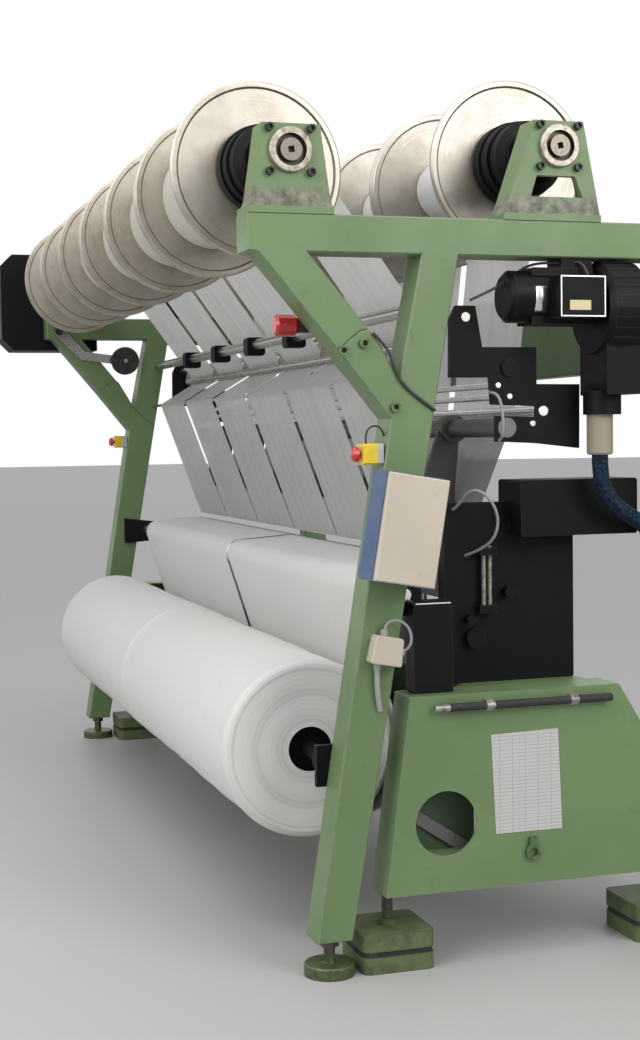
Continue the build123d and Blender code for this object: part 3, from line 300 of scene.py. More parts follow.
    def constants(self, **levels: float) -> None:
        """Set constants on the shader, named as its sockets with underscores for spaces."""
        for name, level in levels.items():
            self.shader.inputs[name.replace("_", " ")].default_value = level

    def worn_edge(self, radius: float) -> bpy.types.NodeSocket:
        """Mask that is high on the object's edges.

        Args:
            radius: Reach of the mask from an edge, in metres.

        Returns:
            The mask socket.
        """
        bevel = self.add("ShaderNodeBevel", samples=4)
        bevel.inputs["Radius"].default_value = radius
        geometry = self.add("ShaderNodeNewGeometry")
        dot = self.add("ShaderNodeVectorMath", operation="DOT_PRODUCT")
        self.link(bevel.outputs["Normal"], dot.inputs[0])
        self.link(geometry.outputs["Normal"], dot.inputs[1])
        speck = self.noise(160.0, detail=3.0)
        product = self.add("ShaderNodeMath", operation="MULTIPLY_ADD")
        self.link(speck, product.inputs[0])
        product.inputs[1].default_value = 0.16
        self.link(dot.outputs["Value"], product.inputs[2])
        mask = self.add("ShaderNodeMapRange")
        mask.inputs["From Min"].default_value = 1.045
        mask.inputs["From Max"].default_value = 0.98
        self.link(product.outputs["Value"], mask.inputs["Value"])
        return mask.outputs["Result"]

    def bump(self, height: bpy.types.NodeSocket, distance: float, strength: float = 1.0) -> None:
        """Drive the shader's normal from a height.

        Args:
            height: Height socket.
            distance: Depth of the relief in metres.
            strength: Share of the relief.
        """
        node = self.add("ShaderNodeBump")
        node.inputs["Distance"].default_value = distance
        node.inputs["Strength"].default_value = strength
        self.link(height, node.inputs["Height"])
        self.link(node.outputs["Normal"], self.shader.inputs["Normal"])


@dataclass(frozen=True)
class Paint:
    """Sprayed enamel with soft mottling, dirt and rubbed edges."""

    name: str
    colour: Colour
    dirt: Colour = (0.10, 0.10, 0.08)
    bare: Colour = (0.35, 0.35, 0.32)
    roughness: float = 0.42
    wear: float = 0.003
    grime_from: float = 0.60
    specular: float = 0.5
    foot: float = 0.0

    def make(self) -> bpy.types.Material:
        """Build the paint.

        Returns:
            The material.
        """
        graph = Graph(self.name)
        mottled = graph.ramp(graph.noise(1.6, detail=3.0),
                             [(0.35, shaded(self.colour, 0.88)), (0.65, shaded(self.colour, 1.10))])
        spots = graph.ramp(graph.noise(14.0, detail=8.0, roughness=0.72),
                           [(self.grime_from, BLANK), (self.grime_from + 0.18, grey(0.55))])
        dirty = graph.mix(spots, mottled, self.dirt)
        bare = graph.ramp(graph.noise(40.0), [(0.3, self.bare), (0.7, self.dirt)])
        if self.foot:
            scuffs = graph.ramp(graph.noise(22.0, detail=8.0, roughness=0.7),
                                [(0.36, BLANK), (0.46, grey(0.92))])
            low = graph.between(graph.along("Z"), self.foot + 0.015, self.foot - 0.015)
            dirty = graph.mix(graph.mix(low, BLANK, scuffs), dirty, bare)
        graph.colour(graph.mix(graph.worn_edge(self.wear), dirty, bare))
        graph.gloss(graph.noise(5.0, detail=6.0), self.roughness, 0.08, 0.14)
        graph.constants(Specular_IOR_Level=self.specular)
        graph.bump(graph.noise(420.0, detail=2.0), 0.0004, 0.25)
        return graph.material


@dataclass(frozen=True)
class Metal:
    """Bare metal with a grain, cloudy oxide and darker grime."""

    name: str
    colour: Colour
    roughness: float
    grain: Grain = Grain.NONE
    grime: Colour = (0.12, 0.11, 0.09)
    grime_share: float = 0.35
    grain_scale: float = 160.0

    def make(self) -> bpy.types.Material:
        """Build the metal.

        Returns:
            The material.
        """
        graph = Graph(self.name)
        cloudy = graph.ramp(graph.noise(3.0, detail=6.0),
                            [(0.3, shaded(self.colour, 0.86)), (0.7, shaded(self.colour, 1.08))])
        stains = graph.ramp(graph.noise(11.0, detail=6.0, roughness=0.65),
                            [(0.58, BLANK), (0.85, grey(self.grime_share))])
        graph.colour(graph.mix(stains, cloudy, self.grime))
        graph.constants(Metallic=1.0)
        lines = graph.noise(self.grain_scale, stretch=self.grain.value, detail=3.0)
        graph.gloss(lines, self.roughness, 0.06, 0.10)
        graph.bump(lines, 0.0003, 0.22)
        return graph.material


@dataclass(frozen=True)
class SpunAluminium:
    """Satin aluminium turned about a shaft along X, with ring scratches, smears and dull patches."""

    name: str
    centre: tuple[float, float]
    colour: Colour = (0.47, 0.435, 0.38)
    smear: Colour = (0.24, 0.21, 0.16)
    roughness: float = 0.42

    def make(self) -> bpy.types.Material:
        """Build the metal.

        Returns:
            The material.
        """
        graph = Graph(self.name)
        rings = graph.add("ShaderNodeTexNoise", noise_dimensions="1D")
        rings.inputs["Scale"].default_value = 260.0
        rings.inputs["Detail"].default_value = 4.0
        graph.link(graph.distance(self.centre), rings.inputs["W"])
        ringed = graph.ramp(rings.outputs["Fac"],
                            [(0.3, shaded(self.colour, 0.94)), (0.7, shaded(self.colour, 1.05))])
        smears = graph.ramp(graph.noise(7.0, detail=9.0, roughness=0.72), [(0.46, BLANK), (0.72, grey(0.60))])
        graph.colour(graph.mix(smears, ringed, self.smear))
        graph.constants(Metallic=1.0)
        graph.gloss(rings.outputs["Fac"], self.roughness, 0.06, 0.12)
        graph.bump(rings.outputs["Fac"], 0.0003, 0.3)
        return graph.material


@dataclass(frozen=True)
class RingedMetal:
    """Metal whose colour changes in rings about axes along X, with grime in patches."""

    name: str
    centres: tuple[tuple[float, float], ...]
    rings: tuple[tuple[float, Colour], ...]
    upper_from: float = 10.0
    upper: Colour = (0.05, 0.05, 0.045)
    roughness: float = 0.45
    metallic: float = 0.6
    reach: float = 0.10

    def make(self) -> bpy.types.Material:
        """Build the metal.

        Returns:
            The material.
        """
        graph = Graph(self.name)
        share = graph.between(graph.nearest(self.centres), 0.0, self.reach)
        stops = []
        for number, (start, colour) in enumerate(self.rings):
            if number:
                stops.append(((start - 0.0008) / self.reach, self.rings[number - 1][1]))
            stops.append((start / self.reach, colour))
        ringed = graph.ramp(share, stops)
        high_up = graph.between(graph.along("Z"), self.upper_from - 0.01, self.upper_from)
        topped = graph.mix(high_up, ringed, self.upper)
        grime = graph.ramp(graph.noise(45.0, detail=7.0, roughness=0.7),
                           [(0.42, FULL), (0.68, (0.35, 0.32, 0.27))])
        graph.colour(graph.mix(1.0, topped, grime, "MULTIPLY"))
        graph.constants(Metallic=self.metallic, Roughness=self.roughness)
        graph.bump(graph.noise(300.0, detail=3.0), 0.0003, 0.3)
        return graph.material


@dataclass(frozen=True)
class Moulded:
    """Rubber or plastic with a fine skin and faint dust."""

    name: str
    colour: Colour
    roughness: float
    dust: Colour = (0.45, 0.44, 0.40)
    dust_share: float = 0.12
    coat: float = 0.0

    def make(self) -> bpy.types.Material:
        """Build the plastic or rubber.

        Returns:
            The material.
        """
        graph = Graph(self.name)
        skin = graph.ramp(graph.noise(20.0), [(0.3, shaded(self.colour, 0.82)), (0.7, self.colour)])
        share = graph.ramp(graph.noise(26.0, detail=8.0, roughness=0.7),
                           [(0.5, BLANK), (0.8, grey(self.dust_share))])
        graph.colour(graph.mix(share, skin, self.dust))
        graph.constants(Roughness=self.roughness, Coat_Weight=self.coat)
        graph.bump(graph.noise(900.0, detail=2.0), 0.0003, 0.3)
        return graph.material


@dataclass(frozen=True)
class Threads:
    """White warp yarn or knitted cloth with fine lines along the machine's pull direction."""

    name: str
    colour: Colour
    shade: Colour
    lines_per_metre: float
    cover: float = 1.0
    sheen: float = 0.3
    glow: float = 0.0
    # Painted shadow: the two fields below darken the yarn under a given height by a given factor.
    shadow_below: float = 0.0
    dim: float = 0.5

    def make(self) -> bpy.types.Material:
        """Build the yarn or cloth.

        Returns:
            The material.
        """
        graph = Graph(self.name)
        wave = graph.bands("X", self.lines_per_metre, (1.0, 0.02, 0.02))
        wave.inputs["Distortion"].default_value = 0.6
        wave.inputs["Detail"].default_value = 2.0
        streaks = graph.noise(26.0, stretch=(1.0, 0.03, 0.03), detail=5.0)
        tone = graph.ramp(streaks, [(0.25, self.shade), (0.7, self.colour)])
        lines = graph.ramp(wave.outputs["Fac"], [(0.0, grey(0.78)), (0.6, FULL)])
        woven = graph.mix(1.0, tone, lines, "MULTIPLY")
        # Painted shadow: the yarn under the height is darkened where the sheet in front of it shades it.
        if self.shadow_below:
            in_shadow = graph.between(graph.along("Z"), self.shadow_below + 0.06, self.shadow_below - 0.06)
            woven = graph.mix(in_shadow, woven, graph.mix(1.0, woven, grey(self.dim), "MULTIPLY"))
        graph.colour(woven)
        graph.constants(Roughness=0.85, Sheen_Weight=self.sheen)
        if self.cover < 1.0:
            density = graph.ramp(streaks, [(0.3, grey(max(2.0 * self.cover - 1.0, 0.0))), (0.7, FULL)])
            graph.link(density, graph.shader.inputs["Alpha"])
        if self.glow:
            through = graph.add("ShaderNodeBsdfTranslucent")
            graph.link(woven, through.inputs["Color"])
            blend = graph.add("ShaderNodeMixShader")
            blend.inputs["Fac"].default_value = self.glow
            graph.link(graph.shader.outputs["BSDF"], blend.inputs[1])
            graph.link(through.outputs["BSDF"], blend.inputs[2])
            graph.link(blend.outputs["Shader"], graph.output.inputs["Surface"])
        graph.bump(wave.outputs["Fac"], 0.0008, 0.35)
        return graph.material


@dataclass(frozen=True)
class RuledPaper:
    """White paper form with faint ruled rows and columns."""

    name: str
    colour: Colour = (0.54, 0.54, 0.52)
    ink: Colour = (0.38, 0.38, 0.38)
    row: float = 0.0105
    column: float = 0.042

    def make(self) -> bpy.types.Material:
        """Build the ruled paper.

        Returns:
            The material.
        """
        graph = Graph(self.name)
        lines = []
        for axis, pitch, thin in (("Z", self.row, 0.90), ("Y", self.column, 0.985)):
            stops = [(thin, self.colour), (min(1.0, thin + 0.05), self.ink)]
            lines.append(graph.ramp(graph.bands(axis, 1.0 / pitch).outputs["Fac"], stops))
        graph.colour(graph.mix(1.0, *lines, "DARKEN"))
        graph.constants(Roughness=0.55, Coat_Weight=0.35)
        graph.bump(graph.noise(14.0, detail=2.0), 0.0015, 0.4)
        return graph.material


@dataclass(frozen=True)
class SplitShell:
    """Moulded shell in two colours that meet in a plane across Y."""

    name: str
    split_y: float
    front: Colour
    back: Colour
    roughness: float = 0.28

    def make(self) -> bpy.types.Material:
        """Build the two-tone shell.

        Returns:
            The material.
        """
        graph = Graph(self.name)
        side = graph.between(graph.along("Y"), self.split_y - 0.0005, self.split_y + 0.0005)
        shade = graph.ramp(side, [(0.4, self.front), (0.6, self.back)])
        dust = graph.ramp(graph.noise(60.0, detail=6.0), [(0.45, FULL), (0.8, (0.80, 0.78, 0.74))])
        graph.colour(graph.mix(1.0, shade, dust, "MULTIPLY"))
        graph.constants(Roughness=self.roughness, Coat_Weight=0.4)
        graph.bump(graph.noise(500.0, detail=2.0), 0.0002, 0.3)
        return graph.material


@dataclass(frozen=True)
class Braid:
    """Hose wall with a crossed braid that shows as small diamonds."""

    name: str
    colour: Colour
    light: Colour
    strands_per_metre: float = 90.0

    def make(self) -> bpy.types.Material:
        """Build the braid.

        Returns:
            The material.
        """
        graph = Graph(self.name)
        strands = graph.add("ShaderNodeTexVoronoi", distance="CHEBYCHEV")
        strands.inputs["Scale"].default_value = self.strands_per_metre
        graph.link(graph.coordinates(), strands.inputs["Vector"])
        graph.colour(graph.ramp(strands.outputs["Distance"], [(0.2, self.light), (0.55, self.colour)]))
        graph.constants(Roughness=0.6, Specular_IOR_Level=0.15)
        graph.bump(strands.outputs["Distance"], 0.001, 0.5)
        return graph.material


Finish = (Paint | Metal | SpunAluminium | RingedMetal | Moulded | Threads | RuledPaper
          | SplitShell | Braid)

GREEN = Paint("machine_green", (0.135, 0.212, 0.090), dirt=(0.07, 0.08, 0.045))
STAND_GREEN = Paint("stand_green", (0.135, 0.212, 0.090), dirt=(0.05, 0.048, 0.035), bare=(0.27, 0.25, 0.20),
                    wear=0.004, foot=2.280)
PAD_GREEN = Paint("trodden_green", (0.100, 0.132, 0.052), dirt=(0.022, 0.022, 0.014), bare=(0.11, 0.10, 0.07),
                  roughness=0.55, wear=0.006, grime_from=0.47)
BLACK = Paint("black_enamel", (0.005, 0.005, 0.006), dirt=(0.020, 0.018, 0.016), bare=(0.08, 0.08, 0.08),
              roughness=0.48, specular=0.14, wear=0.002)
CREAM = Paint("cream_enamel", (0.56, 0.49, 0.40), dirt=(0.30, 0.27, 0.20), roughness=0.40, wear=0.001)
PIPE = Paint("yellowed_cream", (0.31, 0.265, 0.19), dirt=(0.20, 0.17, 0.11), roughness=0.48, wear=0.002)
BLUE = Paint("blue_enamel", (0.030, 0.080, 0.190), dirt=(0.04, 0.05, 0.07), roughness=0.40)
YELLOW = SplitShell("yellow_plastic", -0.309, (0.78, 0.55, 0.015), (0.46, 0.46, 0.43), roughness=0.35)
RED = Moulded("red_plastic", (0.62, 0.03, 0.02), 0.30, coat=0.4)
RUBBER = Moulded("black_rubber", (0.018, 0.018, 0.018), 0.75)
FRONT_SPOOL = SpunAluminium("front_spool_aluminium", FRONT_BEAM_AXIS)
REAR_SPOOL = SpunAluminium("rear_spool_aluminium", REAR_BEAM_AXIS, colour=(0.42, 0.39, 0.345))
STEEL = Metal("ground_steel", (0.50, 0.49, 0.46), 0.26, Grain.ALONG_X, grime_share=0.2)
BEARING_STEEL = Metal("bearing_steel", (0.055, 0.048, 0.040), 0.45)
WORN_STEEL = Metal("worn_steel", (0.20, 0.175, 0.145), 0.42, Grain.ALONG_X)
# Painted shade: the near-black centre ring stands for the shade in the heads' sockets; the green ring beyond
# is the heads' paint, with steel from 60 mm out.
SCREWS = RingedMetal("screw_heads", PAINTED_HEADS,
                     ((0.0, (0.008, 0.010, 0.006)), (0.0085, (0.128, 0.200, 0.086)),
                      (0.060, (0.38, 0.37, 0.34))), upper_from=2.08)
SPINDLES = RingedMetal("foot_spindle_steel", PAINTED_HEADS,
                       ((0.0, (0.095, 0.125, 0.052)), (0.05, (0.095, 0.125, 0.052))),
                       upper_from=0.062, upper=(0.11, 0.10, 0.085), metallic=0.3)
BEARINGS = RingedMetal("bearing_housing", (FRONT_BEAM_AXIS, REAR_BEAM_AXIS),
                       ((0.0, (0.24, 0.20, 0.16)), (0.030, (0.045, 0.040, 0.034)),
                        (0.046, (0.46, 0.42, 0.35))))
CHROME = Metal("polished_rod", (0.86, 0.86, 0.86), 0.26, Grain.ALONG_X, grime_share=0.15)
BAR = Metal("bar_aluminium", (0.68, 0.68, 0.67), 0.32, Grain.ALONG_X)
CAST = Metal("cast_grey", (0.16, 0.16, 0.16), 0.42, Grain.ALONG_X, grime_share=0.15)
YARN = Threads("wound_yarn", (0.74, 0.74, 0.72), (0.66, 0.66, 0.65), 330.0)
# Painted shade: a darker, warmer copy of the wound yarn, for the front packages that lie in shadow.
SHADED_FRONT_YARN = Threads("shaded_front_yarn", (0.58, 0.55, 0.48), (0.54, 0.51, 0.44), 330.0)
SHEET = Threads("yarn_sheet", (0.78, 0.78, 0.77), (0.70, 0.70, 0.70), 260.0, cover=0.94, glow=0.4)
# Painted shade: the rear sheet is a copy of the yarn sheet with less glow and a painted shadow below 1.56 m,
# where the front sheet shades it.
SHADED_REAR_SHEET = Threads("shaded_yarn_sheet", (0.78, 0.78, 0.77), (0.70, 0.70, 0.70), 260.0, cover=0.94,
                     glow=0.25, shadow_below=1.56, dim=0.34)
CLOTH = Threads("knitted_cloth", (0.78, 0.775, 0.755), (0.75, 0.745, 0.725), 300.0)
# Painted shade: a darker copy of the machine green, for the plate behind the hand hole.
SHADED_GREEN = Paint("shaded_green", (0.050, 0.085, 0.045), dirt=(0.05, 0.05, 0.04), roughness=0.55)
GREY_BAR = Paint("grey_enamel", (0.15, 0.145, 0.14), dirt=(0.06, 0.055, 0.05), roughness=0.5)
DARK_CABLE = Moulded("black_cable", (0.025, 0.028, 0.022), 0.55)
GREY_CABLE = Moulded("grey_cable", (0.36, 0.36, 0.35), 0.50)
PLATE_YELLOW = Metal("yellowed_plate", (0.40, 0.36, 0.22), 0.42)
PLATE_SILVER = Metal("rating_plate", (0.72, 0.72, 0.70), 0.30)
FORM = RuledPaper("form_paper")
LAMP = SplitShell("lamp_shell", -0.507, (0.46, 0.014, 0.016), (0.02, 0.02, 0.022))
HOSE = Braid("blue_braid", (0.003, 0.009, 0.018), (0.014, 0.034, 0.062))

NODE_FINISHES: tuple[tuple[Finish, tuple[str, ...]], ...] = (
    (GREEN, ("front_legs", "rear_legs", "top_frames", "saddle_plates", "bed_sills", "machine_bed",
             "end_housing_near", "end_housing_far", "cross_beams")),
    (STAND_GREEN, ("front_stands", "rear_stands")),
    (PAD_GREEN, ("foot_pads",)),
    (BLACK, ("front_clamp_hubs", "rear_clamp_hubs", "let_off_drives", "batch_shaft", "roller_brackets",
             "side_plates", "clamp_blocks", "blower_motor", "blower_housing", "drive_cases")),
    (FRONT_SPOOL, ("front_spools",)),
    (REAR_SPOOL, ("rear_spools",)),
    (YARN, ("rear_yarn_packages",)),
    (SHADED_FRONT_YARN, ("front_yarn_packages",)),
    (BEARINGS, ("bearing_housings",)),
    (SCREWS, ("fasteners",)),
    (WORN_STEEL, ("front_beam_shaft", "rear_beam_shaft")),
    (BEARING_STEEL, ("shaft_bearings",)),
    (SPINDLES, ("foot_spindles",)),
    (STEEL, ("front_rods", "tension_rail", "main_shaft", "feeler_arm")),
    (CHROME, ("guide_roller", "rear_rails")),
    (RUBBER, ("foot_rubbers", "takedown_roller_upper", "takedown_roller_lower", "feeler_wheel")),
    (BAR, ("guide_bar_front", "guide_bar_rear", "needle_bar")),
    (CAST, ("swing_shaft", "trick_bar")),
    (CREAM, ("cabinet_door", "junction_box")),
    (PIPE, ("blower_pipe",)),
    (BLUE, ("control_cabinet",)),
    (LAMP, ("sensor_lamp",)),
    (YELLOW, ("e_stop_boxes",)),
    (RED, ("e_stop_button_near", "e_stop_button_far")),
)


@dataclass
class Workshop:
    """Keeps one material per finish and dresses objects with them."""

    made: dict[str, bpy.types.Material] = field(default_factory=dict)

    def material(self, finish: Finish) -> bpy.types.Material:
        """Material of a finish, built once.

        Args:
            finish: Finish to look up.

        Returns:
            The shared material.
        """
        if finish.name not in self.made:
            self.made[finish.name] = finish.make()
        return self.made[finish.name]

    def dress(self, item: bpy.types.Object, finish: Finish) -> None:
        """Give an object one finish on all its slots.

        Args:
            item: Object to dress.
            finish: Finish that it gets.
        """
        material = self.material(finish)
        if not item.material_slots:
            item.data.materials.append(material)
        for slot in item.material_slots:
            slot.material = material

    def dress_nodes(self) -> None:
        """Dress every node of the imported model."""
        for finish, nodes in NODE_FINISHES:
            for node in nodes:
                self.dress(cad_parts[node], finish)
            LOG.info("%s: %d nodes", finish.name, len(nodes))

    def mesh(self, name: str, points: list[Point], faces: list[tuple[int, ...]], finish: Finish,
             body: str | None = ROOT_BODY, smooth: bool = True) -> bpy.types.Object:
        """Make a mesh piece that rides on a body.

        Args:
            name: Name of the piece.
            points: Corners in metres.
            faces: Corner indices of each face.
            finish: Finish of the piece.
            body: Body that carries it, or None for a piece that is attached to no body.
            smooth: Whether the faces are shaded smooth.

        Returns:
            The new object.
        """
        data = bpy.data.meshes.new(name)
        data.from_pydata(points, [], faces)
        if smooth:
            data.polygons.foreach_set("use_smooth", [True] * len(data.polygons))
        data.update()
        item = bpy.data.objects.new(name, data)
        bpy.context.scene.collection.objects.link(item)
        self.dress(item, finish)
        if body is not None:
            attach(item, body)
        LOG.info("piece %s", name)
        return item

    def thicken(self, item: bpy.types.Object, thickness: float, offset: float) -> None:
        """Give a thin mesh piece its thickness.

        Args:
            item: The piece.
            thickness: Thickness in metres.
            offset: 0 for both sides alike, 1 for the outside only.
        """
        shell = item.modifiers.new("thickness", "SOLIDIFY")
        shell.thickness = thickness
        shell.offset = offset

    def prism(self, name: str, outline: Outline, x: float, thickness: float,
              finish: Finish, bevel: float = 0.001, body: str = ROOT_BODY) -> bpy.types.Object:
        """Make a plate from a (Y, Z) outline, with softly broken edges.

        Args:
            name: Name of the piece.
            outline: Corners of the outline in metres, counterclockwise from +X.
            x: Where the plate starts.
            thickness: How far it reaches along X.
            finish: Finish of the plate.
            bevel: Width of the broken edges.
            body: Body that carries it.

        Returns:
            The new object.
        """
        count = len(outline)
        points = [(x, y, z) for y, z in outline] + [(x + thickness, y, z) for y, z in outline]
        faces = [tuple(reversed(range(count))), tuple(range(count, 2 * count))]
        faces += [(corner, (corner + 1) % count, count + (corner + 1) % count, count + corner)
                  for corner in range(count)]
        plate = self.mesh(name, points, faces, finish, body=body, smooth=False)
        edge = plate.modifiers.new("edge", "BEVEL")
        edge.width = bevel
        edge.segments = 2
        return plate

    def tube(self, name: str, route: Sequence[Point], diameter: float, finish: Finish,
             body: str = ROOT_BODY) -> bpy.types.Object:
        """Make a smooth round tube through control points.

        Args:
            name: Name of the piece.
            route: Control points in metres.
            diameter: Diameter of the tube.
            finish: Finish of the tube.
            body: Body that carries it.

        Returns:
            The new curve object.
        """
        curve = bpy.data.curves.new(name, "CURVE")
        curve.dimensions = "3D"
        curve.bevel_depth = diameter / 2
        curve.bevel_resolution = 6
        curve.resolution_u = 12
        curve.use_fill_caps = True
        spline = curve.splines.new("NURBS")
        spline.points.add(len(route) - 1)
        for point, place in zip(spline.points, route):
            point.co = (*place, 1.0)
        spline.order_u = min(3, len(route))
        spline.use_endpoint_u = True
        item = bpy.data.objects.new(name, curve)
        bpy.context.scene.collection.objects.link(item)
        self.dress(item, finish)
        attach(item, body)
        LOG.info("piece %s", name)
        return item


Wrap = tuple[float, float, float, int]


def headings(wraps: list[Wrap]) -> list[float]:
    """Travel angle of each straight run between neighbouring wraps.

    Args:
        wraps: (y, z, radius, turning sense) of each wrap.

    Returns:
        One angle per run.
    """
    angles = []
    for (y1, z1, r1, s1), (y2, z2, r2, s2) in zip(wraps, wraps[1:]):
        span = math.hypot(y2 - y1, z2 - z1)
        angles.append(math.atan2(z2 - z1, y2 - y1) - math.asin((s2 * r2 - s1 * r1) / span))
    return angles


def touch(wrap: Wrap, angle: float) -> tuple[float, float]:
    """Point where a run at an angle meets a wrap."""
    y, z, radius, sense = wrap
    return y + sense * radius * math.sin(angle), z - sense * radius * math.cos(angle)


def band_line(wraps: list[Wrap], step: float) -> list[tuple[float, float, float]]:
    """Centre line of a band, as evenly spaced points.

    Args:
        wraps: (y, z, radius, turning sense) of each wrap.
        step: Distance between points on the straight runs.

    Returns:
        (y, z, slack) of each point, where slack is 1 in mid-run and 0 on a wrap.
    """
    angles = headings(wraps)
    line = []
    here = touch(wraps[0], angles[0])
    for index, wrap in enumerate(wraps[1:]):
        there = touch(wrap, angles[index])
        count = max(2, round(math.dist(here, there) / step))
        for part in range(count):
            share = part / count
            slack = math.sin(math.pi * share)
            line.append((here[0] + share * (there[0] - here[0]), here[1] + share * (there[1] - here[1]),
                         slack))
        if index + 1 < len(angles):
            turned = (wrap[3] * (angles[index + 1] - angles[index])) % math.tau
            bends = max(3, round(turned / 0.12))
            for part in range(bends):
                line.append((*touch(wrap, angles[index] + wrap[3] * turned * part / bends), 0.0))
            here = touch(wrap, angles[index + 1])
        else:
            line.append((*there, 0.0))
    return line


def line_length(line: list[tuple[float, float, float]]) -> float:
    """Length of a band's centre line in metres."""
    return sum(math.dist(a[:2], b[:2]) for a, b in zip(line, line[1:]))


def centre(node: str) -> Vector:
    """Middle of a node's box."""
    low, high = (Vector(corner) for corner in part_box(node))
    return (low + high) / 2


def radius_of(node: str) -> float:
    """Radius of a turned node about X, from the height of its box."""
    low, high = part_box(node)
    return (high[2] - low[2]) / 2


def grid_faces(start: int, rows: int, columns: int) -> list[tuple[int, ...]]:
    """Quads of a grid of points.

    Args:
        start: Index of the grid's first point.
        rows: Number of rows.
        columns: Points in each row.

    Returns:
        Corner indices of each quad, row by row.
    """
    corners = (start + row * columns + column for row in range(rows - 1) for column in range(columns - 1))
    return [(corner, corner + 1, corner + columns + 1, corner + columns) for corner in corners]


@dataclass
class YarnSheets:
    """The two warp sheets that run from the beams to the guide bars, one band per section."""

    shop: Workshop
    sections: int = 6
    columns: int = 9
    step: float = 0.045
    band_width: float = 0.524
    spread_width: float = 0.545
    spread_from: float = 0.55
    clearance: float = 0.0018
    rail_radius: float = 0.017
    edge_rod_radius: float = 0.007
    edge_rod_y: float = -0.142
    rear_rail: tuple[float, float] = (0.272, 1.650)
    tip_y: dict[str, float] = field(default_factory=lambda: {"front": 0.052, "rear": 0.100})
    tip_z: float = 1.196
    bend_from: Point = (0.0, 0.0, 1.42)
    bend_to: Point = (0.0, 0.0, 1.21)

    def wraps(self, side: str) -> list[Wrap]:
        """Path of one sheet, from the package to the tips of its guides.

        Args:
            side: "front" or "rear".

        Returns:
            The wraps of the path.
        """
        package = centre(side + "_yarn_packages")
        start = (package.y, package.z, radius_of(side + "_yarn_packages") + self.clearance, -1)
        tip = (self.tip_y[side], self.tip_z, 0.0, 1)
        round_rail = self.rail_radius + self.clearance
        if side == "rear":
            return [start, (*self.rear_rail, round_rail, -1), tip]
        rail_low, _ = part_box("tension_rail")
        rods_low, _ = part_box("front_rods")
        rail = (rail_low[1] + self.rail_radius, rail_low[2] + self.rail_radius, round_rail, -1)
        edge_rod = (self.edge_rod_y, rods_low[2] + self.edge_rod_radius,
                    self.edge_rod_radius + self.clearance, 1)
        return [start, rail, edge_rod, tip]

    def width(self, share: float) -> float:
        """Width of a band at a share of its way to the guides."""
        spread = max(0.0, share - self.spread_from) / (1.0 - self.spread_from)
        return self.band_width + spread * (self.spread_width - self.band_width)

    def build_side(self, side: str, finish: Threads) -> None:
        """Build one sheet as one piece of six bands.

        Args:
            side: "front" or "rear".
            finish: Finish of the sheet.
        """
        node = "yarn_sheet_" + side
        low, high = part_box(node)
        pitch = (high[0] - low[0] - self.band_width) / (self.sections - 1)
        line = band_line(self.wraps(side), self.step)
        total = line_length(line)
        points = []
        faces = []
        for section in range(self.sections):
            middle = low[0] + self.band_width / 2 + section * pitch
            faces += grid_faces(len(points), len(line), self.columns)
            travelled = 0.0
            before = line[0]
            for y, z, _ in line:
                travelled += math.dist(before[:2], (y, z))
                before = (y, z)
                width = self.width(travelled / total)
                points += [(middle + (column / (self.columns - 1) - 0.5) * width, y, z)
                           for column in range(self.columns)]
        sheet = self.shop.mesh("warp_sheet_" + side, points, faces, finish, body=None)
        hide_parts(node)
        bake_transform(sheet)

    def build(self) -> None:
        """Build both sheets."""
        self.build_side("front", SHEET)
        self.build_side("rear", SHADED_REAR_SHEET)


